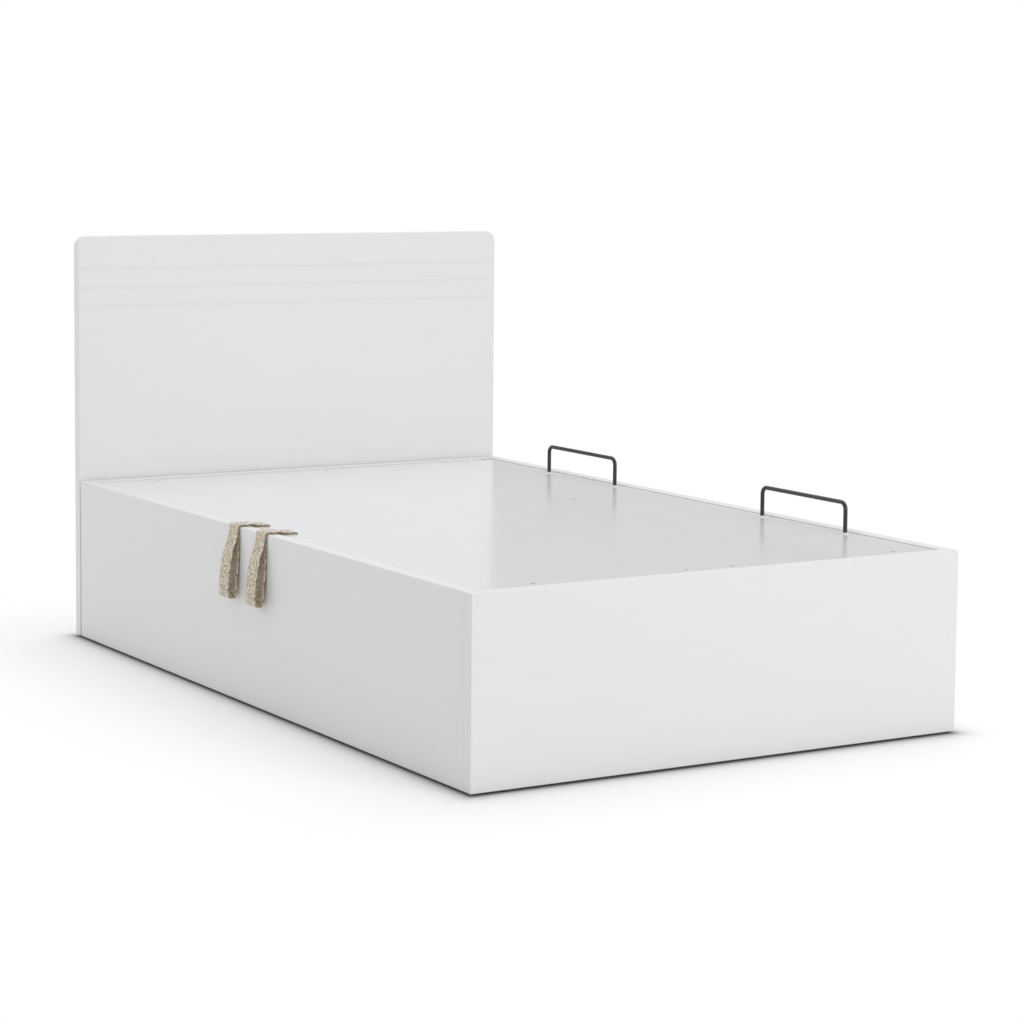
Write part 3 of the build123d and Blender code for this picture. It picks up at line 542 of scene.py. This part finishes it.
def rounded(points, radius, steps=10):
    """Corner points joined by straight runs and round corners."""
    corners = [Vector(point) for point in points]
    line = [corners[0]]
    for before, corner, after in zip(corners, corners[1:], corners[2:]):
        back, ahead = (before - corner).normalized(), (after - corner).normalized()
        half = back.angle(ahead) / 2
        if half > math.radians(89.5):
            line.append(corner)
            continue
        reach = radius / math.tan(half)
        centre = corner + (back + ahead).normalized() * (radius / math.sin(half))
        first, last = corner + back * reach - centre, corner + ahead * reach - centre
        turn = first.angle_signed(last)
        for step in range(steps + 1):
            angle = -turn * step / steps
            cos, sin = math.cos(angle), math.sin(angle)
            line.append(centre + Vector((first.x * cos - first.y * sin, first.x * sin + first.y * cos)))
    line.append(corners[-1])
    return line


def shifted(points, distance):
    """The same line moved sideways, to its left."""
    moved = []
    for index, point in enumerate(points):
        ahead = points[min(index + 1, len(points) - 1)]
        behind = points[max(index - 1, 0)]
        direction = (ahead - behind).normalized()
        moved.append(point + Vector((-direction.y, direction.x)) * distance)
    return moved


def smooth_run(start, start_direction, end, end_direction, steps=40):
    """Smooth curve between two points with given directions."""
    pull = (end - start).length
    line = []
    for step in range(1, steps):
        t = step / steps
        a, b = 2 * t**3 - 3 * t**2 + 1, t**3 - 2 * t**2 + t
        c, d = -2 * t**3 + 3 * t**2, t**3 - t**2
        line.append(start * a + start_direction * (pull * b) + end * c + end_direction * (pull * d))
    return line


# The straps' route, in metres; drops and stand-offs are measured from the left side board.
STRAP_NAMES = ("foot", "head")
STRAP_CENTRES = {name: sum(corner.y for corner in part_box(f"pull_loop_{name}")) / 2 for name in STRAP_NAMES}
BEND_INSET = 0.0026
BEND_CENTRE = Vector((LEFT_FACE + BEND_INSET, RIM_TOP - BEND_INSET))
BEND_INNER = 0.0036
BEND_STEPS = 12
LANDING_PLAY = 0.003
LANDING_SLOPE = 4
CORNER_PLAY = 0.001
LOOP_STEPS = 16
ROWS_PER_RIB = 7
WEBBING_COLUMNS = 12
SELVEDGE = 0.003
SELVEDGE_SHARE = 0.45
DIRECTION_STEP = 0.0006
LAYER_GAP = 0.0003
SLOT_INSET = 0.043
STRAP_TAIL = 0.044
LID_PLAY = 0.0003
LOOP_DROP = 0.164
REAR_STAND_OFF = 0.0102
FRONT_STAND_OFF = 0.031
REAR_LEAN = 0.27
FRONT_LEAN = 0.74


def root_line(layer):
    """Middle of the two layers from the bend's side to the tail under the lid."""
    radius = BEND_INNER + layer + LAYER_GAP / 2
    bend = []
    for step in range(BEND_STEPS + 1):
        angle = math.pi / 2 * (1 - step / BEND_STEPS)
        bend.append(BEND_CENTRE + Vector((-math.sin(angle), math.cos(angle))) * radius)
    top = bend[-1].y
    on_lid = LID_TOP + LID_PLAY + layer + LAYER_GAP / 2
    below = LID_UNDER - LID_PLAY - layer - LAYER_GAP / 2
    slot_x = LID_LEFT + SLOT_INSET
    landing = INNER_LEFT + LANDING_PLAY
    run = rounded([
        bend[-1],
        (landing, top),
        (landing + LANDING_SLOPE * (top - on_lid), on_lid),
        (slot_x, on_lid),
        (slot_x, below),
        (slot_x + STRAP_TAIL, below),
    ], layer + LAYER_GAP / 2 + CORNER_PLAY)
    return bend[:-1] + run


def loop_half(radius, stand_off, lean, bottom):
    """One side of the loop, from the bend's side to its lower end."""
    side = BEND_CENTRE + Vector((-radius, 0))
    low = Vector((LEFT_FACE - stand_off, bottom))
    waist = Vector((side.x + lean * (low.x - side.x), (side.y + bottom) / 2))
    down = Vector((0, -1))
    slope = (low - side).normalized()
    upper = smooth_run(side, down, waist, slope)
    lower = smooth_run(waist, slope, low, down)
    return [side, *upper, waist, *lower, low]


def strap_route(layer):
    """Whole webbing: tail, slot, lid, rim, loop, and back as the upper layer."""
    middle = root_line(layer)
    spacing = (layer + LAYER_GAP) / 2
    inner = shifted(middle, -spacing)
    outer = shifted(middle, spacing)
    bottom_round = (FRONT_STAND_OFF - REAR_STAND_OFF) / 2
    bottom = BEND_CENTRE.y - LOOP_DROP + bottom_round
    rear_radius = BEND_INNER + layer / 2
    front_radius = rear_radius + layer + LAYER_GAP
    rear = loop_half(rear_radius, REAR_STAND_OFF, REAR_LEAN, bottom)
    front = loop_half(front_radius, FRONT_STAND_OFF, FRONT_LEAN, bottom)
    turn_centre = (rear[-1] + front[-1]) / 2
    turn = []
    for step in range(1, LOOP_STEPS):
        angle = math.pi * step / LOOP_STEPS
        turn.append(turn_centre + Vector((math.cos(angle), -math.sin(angle))) * bottom_round)
    return Route(list(reversed(inner)) + rear[1:] + turn + list(reversed(front))[:-1] + outer)


def build_webbing(bm, route, y, finish):
    """Grid of webbing with ribs and thinner selvedges, bent along its route."""
    rows = round(route.length / finish.rib_pitch * ROWS_PER_RIB)
    bmesh.ops.create_grid(bm, x_segments=rows, y_segments=WEBBING_COLUMNS, size=0.5)
    bmesh.ops.scale(bm, vec=(route.length, finish.width, 1), verts=bm.verts)
    bmesh.ops.translate(bm, vec=(route.length / 2, 0, 0), verts=bm.verts)
    core = finish.thickness - 2 * finish.rib_height
    bmesh.ops.solidify(bm, geom=bm.verts[:] + bm.edges[:] + bm.faces[:], thickness=core)
    middle_z = sum(vert.co.z for vert in bm.verts) / len(bm.verts)
    uv_layer = bm.loops.layers.uv.new("webbing")
    for face in bm.faces:
        for loop in face.loops:
            loop[uv_layer].uv = (loop.vert.co.x, loop.vert.co.y)
    for vert in bm.verts:
        height = vert.co.z - middle_z
        edge = min(1.0, (finish.width / 2 - abs(vert.co.y)) / SELVEDGE)
        rib = finish.rib_height * (0.5 + 0.5 * math.cos(2 * math.pi * vert.co.x / finish.rib_pitch))
        swell = (abs(height) + rib) * (SELVEDGE_SHARE + (1 - SELVEDGE_SHARE) * edge)
        vert.co.z = math.copysign(swell, height)
    for vert in bm.verts:
        place = route.at(vert.co.x)
        ahead = route.at(vert.co.x + DIRECTION_STEP) - route.at(vert.co.x - DIRECTION_STEP)
        normal = Vector((-ahead.y, ahead.x)).normalized()
        point = place + normal * vert.co.z
        vert.co = Vector((point.x, y + vert.co.y, point.y))
    bmesh.ops.recalc_face_normals(bm, faces=bm.faces[:])
    for face in bm.faces:
        face.smooth = True


def make_strap(name, finish, material):
    """One strap, bent between the lid and its pull loop."""
    y = STRAP_CENTRES[name]
    route = strap_route(finish.thickness)
    strap = piece_from(
        f"pull_strap_webbing_{name}",
        lambda bm: build_webbing(bm, route, y, finish),
        material, None,
    )
    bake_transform(strap)
    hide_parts(f"pull_strap_{name}", f"pull_loop_{name}")
    return strap


# Small trim.


# Shares of the recess in a screw's head: arm length, half of its width, depth and taper.
RECESS_ARM = 0.52
RECESS_HALF_WIDTH = 0.13
RECESS_DEPTH = 0.55
RECESS_TAPER = 0.75
SCREW_SEGMENTS = 24
SCREW_TURN = math.radians(37)
COLLAR_SEGMENTS = 28
COLLAR_PLAY = 0.0001
COLLAR_LIFT = 0.00005
RIM_CAP_X = 0.6205
RIM_CAP_Y = -0.92
RIM_CAP_HEIGHT = 0.0014
RIM_CAP_SEGMENTS = 24
WELD = 1e-6


def ring_of(bm, radius, height, segments):
    """Edges of a circle at a height."""
    made = bmesh.ops.create_circle(bm, segments=segments, radius=radius)
    bmesh.ops.translate(bm, vec=(0, 0, height), verts=made["verts"])
    return loop_edges(made["verts"])


def lathe(bm, profile, segments):
    """Solid of revolution about Z from (radius, height) pairs."""
    verts = [bm.verts.new((radius, 0, height)) for radius, height in profile]
    edges = [bm.edges.new(pair) for pair in zip(verts, verts[1:])]
    bmesh.ops.spin(
        bm, geom=verts + edges, cent=(0, 0, 0), axis=(0, 0, 1), angle=2 * math.pi,
        steps=segments, use_merge=True)
    bmesh.ops.remove_doubles(bm, verts=bm.verts[:], dist=WELD)
    bmesh.ops.recalc_face_normals(bm, faces=bm.faces[:])


def countersunk_screw(bm, radius, depth, shank, length):
    """Countersunk screw with a crossed recess; its face is at height 0."""
    arm, half, sink = radius * RECESS_ARM, radius * RECESS_HALF_WIDTH, depth * RECESS_DEPTH
    outline = [
        (arm, -half), (arm, half), (half, half), (half, arm), (-half, arm), (-half, half),
        (-arm, half), (-arm, -half), (-half, -half), (-half, -arm), (half, -arm), (half, -half),
    ]
    cross = [bm.verts.new((x, y, 0)) for x, y in outline]
    face = bm.faces.new(cross)
    cross_edges = list(face.edges)
    bmesh.ops.delete(bm, geom=[face], context="FACES_ONLY")
    rim_edges = ring_of(bm, radius, 0, SCREW_SEGMENTS)
    bmesh.ops.bridge_loops(bm, edges=cross_edges + rim_edges)
    floor = bmesh.ops.extrude_edge_only(bm, edges=cross_edges)
    low = [item for item in floor["geom"] if isinstance(item, bmesh.types.BMVert)]
    bmesh.ops.translate(bm, vec=(0, 0, -sink), verts=low)
    bmesh.ops.scale(bm, vec=(RECESS_TAPER, RECESS_TAPER, 1), verts=low)
    bmesh.ops.contextual_create(bm, geom=loop_edges(low))
    neck_edges = ring_of(bm, shank, -depth, SCREW_SEGMENTS)
    bmesh.ops.bridge_loops(bm, edges=rim_edges + neck_edges)
    end_edges = ring_of(bm, shank, -length, SCREW_SEGMENTS)
    bmesh.ops.bridge_loops(bm, edges=neck_edges + end_edges)
    bmesh.ops.contextual_create(bm, geom=end_edges)
    bmesh.ops.recalc_face_normals(bm, faces=bm.faces[:])


def solid_boxes(node):
    """Lowest and highest corner of each separate solid in a CAD node."""
    bm = bmesh.new()
    bm.from_mesh(NODES[node].data)
    bmesh.ops.remove_doubles(bm, verts=bm.verts[:], dist=WELD)
    boxes, left = [], set(bm.verts)
    while left:
        stack, found = [left.pop()], []
        while stack:
            vert = stack.pop()
            found.append(vert.co.copy())
            for edge in vert.link_edges:
                other = edge.other_vert(vert)
                if other in left:
                    left.remove(other)
                    stack.append(other)
        low = Vector([min(co[axis] for co in found) for axis in range(3)])
        high = Vector([max(co[axis] for co in found) for axis in range(3)])
        boxes.append((low, high))
    bm.free()
    return sorted(boxes, key=lambda box: tuple(box[0]))


def build_screws(bm, node, trim):
    """A detailed screw in the place of each solid of the node."""
    for index, (low, high) in enumerate(solid_boxes(node)):
        single = bmesh.new()
        radius = (high.x - low.x) / 2
        countersunk_screw(single, radius, trim.screw_depth, trim.shank_radius, high.z - low.z)
        turn = Matrix.Rotation(SCREW_TURN * index, 4, "Z")
        place = Matrix.Translation(((low.x + high.x) / 2, (low.y + high.y) / 2, high.z))
        add_mesh(bm, single, place @ turn)


def build_collars(bm, trim):
    """Nylon ring round each foot of the mattress retainers."""
    for node in ("retainer_foot", "retainer_head"):
        low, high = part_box(node)
        rod = (high.x - low.x) / 2
        for y in (low.y + rod, high.y - rod):
            single = bmesh.new()
            inner, outer, top = rod + COLLAR_PLAY, trim.collar_radius, trim.collar_height
            lathe(single, [
                (inner, COLLAR_LIFT), (outer, COLLAR_LIFT), (outer, top * 0.45), (outer - top * 0.5, top),
                (inner, top), (inner, COLLAR_LIFT),
            ], COLLAR_SEGMENTS)
            add_mesh(bm, single, Matrix.Translation(((low.x + high.x) / 2, y, LID_TOP)))


def build_rim_cap(bm, trim):
    """Low domed cap over a fixing in the right rim."""
    radius = trim.cap_radius
    crown, shoulder = RIM_CAP_HEIGHT * 6 / 7, RIM_CAP_HEIGHT * 3 / 7
    lathe(bm, [
        (0, RIM_CAP_HEIGHT), (radius * 0.6, crown), (radius * 0.9, shoulder), (radius, 0.0), (0, 0.0),
    ], RIM_CAP_SEGMENTS)
    bmesh.ops.translate(bm, vec=(RIM_CAP_X, RIM_CAP_Y, RIM_TOP), verts=bm.verts)


# Studio.


# Places, targets and sizes of the lamps, the card and the camera, in metres.
OVERHEAD_LAMP = ((0.9, 1.2, 4.4), (0, 0, 0), (4.5, 4.5))
FRONT_LAMP = ((1.7, -6.2, 2.2), (0.3, 0, 0.4), (4.0, 3.0))
SIDE_LAMP = ((-3.6, 3.4, 1.5), (-0.63, 0.9, 0.3), (2.0, 2.0))
FLOOR_SIZE = (60, 60)
CARD_SIZE = (6.4, 2.0)
CARD_PLACE = (3.9, 3.6, 1.0)
CARD_COLOUR = (0.98, 0.99, 1.0, 1)
FADE_START = 0.15
FADE_END = 0.65
CAMERA_PLACE = (-3.4481, -5.8246, 1.3419)
CAMERA_YAW = math.radians(31.162)
CAMERA_PITCH = math.radians(-5.696)
CAMERA_ROLL = math.radians(0.518)
CAMERA_SHIFT = -0.0996


def light_path_share(tree):
    """1 for rays from the camera, a mirror or glass, and 0 for the others."""
    path = tree.nodes.new("ShaderNodeLightPath")
    seen = math_node(tree, "ADD", path.outputs["Is Camera Ray"], path.outputs["Is Glossy Ray"])
    seen = math_node(tree, "ADD", seen, path.outputs["Is Transmission Ray"])
    return math_node(tree, "MINIMUM", seen, 1.0)


def white_world(studio):
    """White background, and a softer even light on the bed."""
    world = bpy.data.worlds.new("studio world")
    world.use_nodes = True
    tree = world.node_tree
    background = tree.nodes["Background"]
    background.inputs["Color"].default_value = (1, 1, 1, 1)
    strength = between(tree, light_path_share(tree), studio.ambient, 1.0)
    link(tree, strength, background.inputs["Strength"])
    bpy.context.scene.world = world


def distance_from_box(tree, position):
    """Distance on the floor from the outline of the box and the headboard."""
    low = (LEFT_FACE, CAD_BOX[0][1])
    high = (-LEFT_FACE, CAD_BOX[1][1])
    parts = tree.nodes.new("ShaderNodeSeparateXYZ")
    link(tree, position, parts.inputs[0])
    squares = []
    for axis in (0, 1):
        middle, half = (low[axis] + high[axis]) / 2, (high[axis] - low[axis]) / 2
        from_middle = math_node(tree, "ABSOLUTE", math_node(tree, "SUBTRACT", parts.outputs[axis], middle))
        outside = math_node(tree, "MAXIMUM", math_node(tree, "SUBTRACT", from_middle, half), 0.0)
        squares.append(math_node(tree, "POWER", outside, 2.0))
    return math_node(tree, "SQRT", math_node(tree, "ADD", *squares))


def floor_material(studio):
    """White floor that keeps the bed's shadow, darkens with a painted contact shadow round the box and the
    headboard, and fades into the white background.
    """
    material = bpy.data.materials.new("studio floor")
    material.use_nodes = True
    tree = material.node_tree
    tree.nodes.remove(tree.nodes["Principled BSDF"])
    seen = light_path_share(tree)
    coordinates = tree.nodes.new("ShaderNodeTexCoord")
    distance = distance_from_box(tree, coordinates.outputs["Object"])
    # Painted contact shadow: the floor's colour darkens near the outline of the box and the headboard.
    fall = math_node(tree, "EXPONENT", math_node(tree, "MULTIPLY", distance, -1 / studio.painted_shadow_reach))
    shade = math_node(tree, "SUBTRACT", 1.0, math_node(tree, "MULTIPLY", fall, studio.painted_contact_shadow))
    brightness = between(tree, seen, studio.floor_bounce, studio.floor_white)
    value = math_node(tree, "MULTIPLY", brightness, shade)
    colour = tree.nodes.new("ShaderNodeCombineColor")
    for socket in colour.inputs[:3]:
        link(tree, value, socket)
    diffuse = tree.nodes.new("ShaderNodeBsdfDiffuse")
    link(tree, colour.outputs[0], diffuse.inputs["Color"])
    white = tree.nodes.new("ShaderNodeEmission")
    white.inputs["Strength"].default_value = 1.0
    far = tree.nodes.new("ShaderNodeMapRange")
    far.interpolation_type = "SMOOTHSTEP"
    far.inputs["From Min"].default_value = FADE_START
    far.inputs["From Max"].default_value = FADE_END
    link(tree, distance, far.inputs["Value"])
    mixed = tree.nodes.new("ShaderNodeMixShader")
    link(tree, math_node(tree, "MULTIPLY", far.outputs[0], seen), mixed.inputs[0])
    link(tree, diffuse.outputs[0], mixed.inputs[1])
    link(tree, white.outputs[0], mixed.inputs[2])
    link(tree, mixed.outputs[0], tree.nodes["Material Output"].inputs["Surface"])
    return material


def stage_plane(name, size, matrix, material):
    """Flat stage piece, with its place in its mesh."""
    bm = bmesh.new()
    bmesh.ops.create_grid(bm, x_segments=1, y_segments=1, size=0.5)
    bmesh.ops.scale(bm, vec=(size[0], size[1], 1), verts=bm.verts)
    bmesh.ops.transform(bm, matrix=matrix, verts=bm.verts)
    mesh = bpy.data.meshes.new(name)
    bm.to_mesh(mesh)
    bm.free()
    plane = bpy.data.objects.new(name, mesh)
    mesh.materials.append(material)
    bpy.context.scene.collection.objects.link(plane)
    return plane


def card_material(level):
    """Even grey glow of the card."""
    material = bpy.data.materials.new("grey card")
    material.use_nodes = True
    tree = material.node_tree
    tree.nodes.remove(tree.nodes["Principled BSDF"])
    emission = tree.nodes.new("ShaderNodeEmission")
    emission.inputs["Color"].default_value = CARD_COLOUR
    emission.inputs["Strength"].default_value = level
    link(tree, emission.outputs[0], tree.nodes["Material Output"].inputs["Surface"])
    return material


def area_lamp(name, spot, power):
    """Rectangular lamp; its spot is a place, a target and a size."""
    place, target, size = spot
    lamp = bpy.data.lights.new(name, "AREA")
    lamp.shape = "RECTANGLE"
    lamp.size, lamp.size_y = size
    lamp.energy = power
    lamp_object = bpy.data.objects.new(name, lamp)
    lamp_object.location = place
    direction = Vector(target) - Vector(place)
    lamp_object.rotation_euler = direction.to_track_quat("-Z", "Y").to_euler()
    bpy.context.scene.collection.objects.link(lamp_object)


def studio_camera(studio):
    """Camera where the photograph was taken."""
    data = bpy.data.cameras.new("studio camera")
    data.lens = studio.lens
    data.shift_y = CAMERA_SHIFT
    camera = bpy.data.objects.new("studio camera", data)
    yaw = Matrix.Rotation(-CAMERA_YAW, 4, "Z")
    pitch = Matrix.Rotation(math.pi / 2 + CAMERA_PITCH, 4, "X")
    roll = Matrix.Rotation(CAMERA_ROLL, 4, "Z")
    camera.matrix_world = Matrix.Translation(CAMERA_PLACE) @ yaw @ pitch @ roll
    bpy.context.scene.collection.objects.link(camera)
    bpy.context.scene.camera = camera


# Operators.


class OTTOMAN_OT_finish_boards(bpy.types.Operator):
    """Finish the box boards, the headboard, the lid and the storage floor"""

    bl_idname = "ottoman.finish_boards"
    bl_label = "Finish Boards"

    def execute(self, context):
        finish = context.scene.ottoman_boards
        cross = foil_material("white foil grain across", "X", finish)
        lengthwise = foil_material("white foil grain lengthwise", "Y", finish)
        dress(cross, "foot_board", "head_end_board", "headboard")
        dress(lengthwise, "side_board_left", "side_board_right")
        dress(lid_material(finish), "lid_board_left", "lid_board_right")
        dress(hardboard_material(), "floor_board_left", "floor_board_right")
        return {"FINISHED"}


class OTTOMAN_OT_finish_timber(bpy.types.Operator):
    """Finish the battens, the centre beam and the lid rests"""

    bl_idname = "ottoman.finish_timber"
    bl_label = "Finish Timber"

    def execute(self, context):
        dress(
            pine_material("pine lengthwise", "Y"),
            "side_batten_left", "side_batten_right", "centre_beam", "lid_rests",
        )
        dress(pine_material("pine across", "X"), "end_batten_foot", "end_batten_head")
        return {"FINISHED"}


class OTTOMAN_OT_finish_metal(bpy.types.Operator):
    """Finish the lid frame, the lift mechanism, the retainers and the fasteners"""

    bl_idname = "ottoman.finish_metal"
    bl_label = "Finish Metal"

    def execute(self, context):
        dress(
            powder_coat("lid frame grey powder coat", FRAME_GREY, 0.48),
            "lid_rail_left", "lid_rail_right", "lid_end_tube_foot", "lid_end_tube_head", "lid_cross_tubes",
            "lid_spine_tubes",
        )
        dress(
            powder_coat("hinge black powder coat", HINGE_BLACK, 0.42),
            "hinge_base_foot", "hinge_base_head", "lid_arm_foot", "lid_arm_head",
        )
        dress(powder_coat("retainer satin black", RETAINER_BLACK, 0.30), "retainer_foot", "retainer_head")
        dress(
            powder_coat("strut satin black paint", STRUT_BLACK, 0.26, 1400.0, 0.00002),
            "strut_cylinder_foot", "strut_cylinder_head",
        )
        dress(
            plated_metal("zinc plating", ZINC, 0.34),
            "headboard_bolts", "corner_brackets", "bracket_screws", "hinge_pin_foot", "hinge_pin_head",
            "strut_low_studs", "strut_high_studs", "hinge_base_bolts", "lid_arm_bolts", "retainer_sockets",
            "strap_anchors", "strap_anchor_screws",
        )
        dress(
            plated_metal("strut end fitting steel", EYE_STEEL, 0.38),
            "strut_low_eye_foot", "strut_low_eye_head", "strut_high_eye_foot", "strut_high_eye_head",
        )
        dress(chrome_material(), "strut_rod_foot", "strut_rod_head")
        return {"FINISHED"}


class OTTOMAN_OT_finish_plastic(bpy.types.Operator):
    """Finish the glides, feet, spacers, pads, washers and the floor strip"""

    bl_idname = "ottoman.finish_plastic"
    bl_label = "Finish Plastic"

    def execute(self, context):
        black = moulded_material("moulded black plastic", PLASTIC_BLACK, 0.5)
        dress(black, "floor_glides", "beam_feet", "headboard_spacers")
        dress(moulded_material("black rubber", RUBBER_BLACK, 0.78, 700.0, 0.0001), "lid_rest_pads")
        dress(moulded_material("white extruded plastic", STRIP_WHITE, 0.38, 200.0, 0.00002), "floor_strip")
        dress(moulded_material("natural nylon", WASHER_NYLON, 0.4, 400.0, 0.00002), "hinge_washers")
        return {"FINISHED"}


class OTTOMAN_OT_pull_straps(bpy.types.Operator):
    """Make the two webbing pull straps"""

    bl_idname = "ottoman.pull_straps"
    bl_label = "Make Pull Straps"

    def execute(self, context):
        finish = context.scene.ottoman_webbing
        material = webbing_material(finish)
        for name in STRAP_NAMES:
            make_strap(name, finish, material)
        return {"FINISHED"}


class OTTOMAN_OT_small_trim(bpy.types.Operator):
    """Make the lid screws with crossed recesses, the nylon collars and the rim cap"""

    bl_idname = "ottoman.small_trim"
    bl_label = "Make Small Trim"

    def execute(self, context):
        trim = context.scene.ottoman_trim
        nickel = plated_metal("screw nickel plating", SCREW_NICKEL, 0.40)
        for node in ("lid_screws", "retainer_screws"):
            screws = piece_from(
                f"{node}_detailed", lambda bm: build_screws(bm, node, trim), nickel, "lid")
            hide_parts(node)
        nylon = moulded_material("collar nylon", COLLAR_NYLON, 0.35, 400.0, 0.00002)
        piece_from("retainer_collars", lambda bm: build_collars(bm, trim), nylon, "lid")
        piece_from("rim_cover_cap", lambda bm: build_rim_cap(bm, trim), nylon, "bed_base")
        return {"FINISHED"}


class OTTOMAN_OT_studio(bpy.types.Operator):
    """Set up the floor, the light, the reflection card and the camera"""

    bl_idname = "ottoman.studio"
    bl_label = "Set Up Studio"

    def execute(self, context):
        studio = context.scene.ottoman_studio
        context.scene.view_settings.view_transform = "Standard"
        white_world(studio)
        stage_plane("studio floor", FLOOR_SIZE, Matrix.Identity(4), floor_material(studio))
        card_matrix = Matrix.Translation(CARD_PLACE) @ Matrix.Rotation(math.pi / 2, 4, "X")
        card = stage_plane("grey card", CARD_SIZE, card_matrix, card_material(studio.card_level))
        card.visible_camera = card.visible_diffuse = card.visible_shadow = card.visible_transmission = False
        area_lamp("overhead lamp", OVERHEAD_LAMP, studio.overhead_power)
        area_lamp("front lamp", FRONT_LAMP, studio.front_power)
        area_lamp("side lamp", SIDE_LAMP, studio.side_power)
        studio_camera(studio)
        return {"FINISHED"}


class OTTOMAN_PT_looks(bpy.types.Panel):
    """Steps that dress the ottoman bed, in order"""

    bl_idname = "OTTOMAN_PT_looks"
    bl_label = "Ottoman Bed"
    bl_space_type = "VIEW_3D"
    bl_region_type = "UI"
    bl_category = "Ottoman Bed"

    def draw(self, context):
        for operator in OPERATORS:
            self.layout.operator(operator.bl_idname)


SETTINGS = {
    "ottoman_boards": BoardFinish,
    "ottoman_webbing": WebbingFinish,
    "ottoman_trim": TrimSizes,
    "ottoman_studio": StudioSettings,
}
OPERATORS = (
    OTTOMAN_OT_finish_boards,
    OTTOMAN_OT_finish_timber,
    OTTOMAN_OT_finish_metal,
    OTTOMAN_OT_finish_plastic,
    OTTOMAN_OT_pull_straps,
    OTTOMAN_OT_small_trim,
    OTTOMAN_OT_studio,
)


def register():
    for group in SETTINGS.values():
        bpy.utils.register_class(group)
    for operator in OPERATORS:
        bpy.utils.register_class(operator)
    bpy.utils.register_class(OTTOMAN_PT_looks)
    for name, group in SETTINGS.items():
        setattr(bpy.types.Scene, name, bpy.props.PointerProperty(type=group))


def unregister():
    for name in SETTINGS:
        delattr(bpy.types.Scene, name)
    bpy.utils.unregister_class(OTTOMAN_PT_looks)
    for operator in reversed(OPERATORS):
        bpy.utils.unregister_class(operator)
    for group in reversed(list(SETTINGS.values())):
        bpy.utils.unregister_class(group)


def main():
    register()
    for operator in OPERATORS:
        category, name = operator.bl_idname.split(".")
        getattr(getattr(bpy.ops, category), name)()


if __name__ == "__main__":
    main()
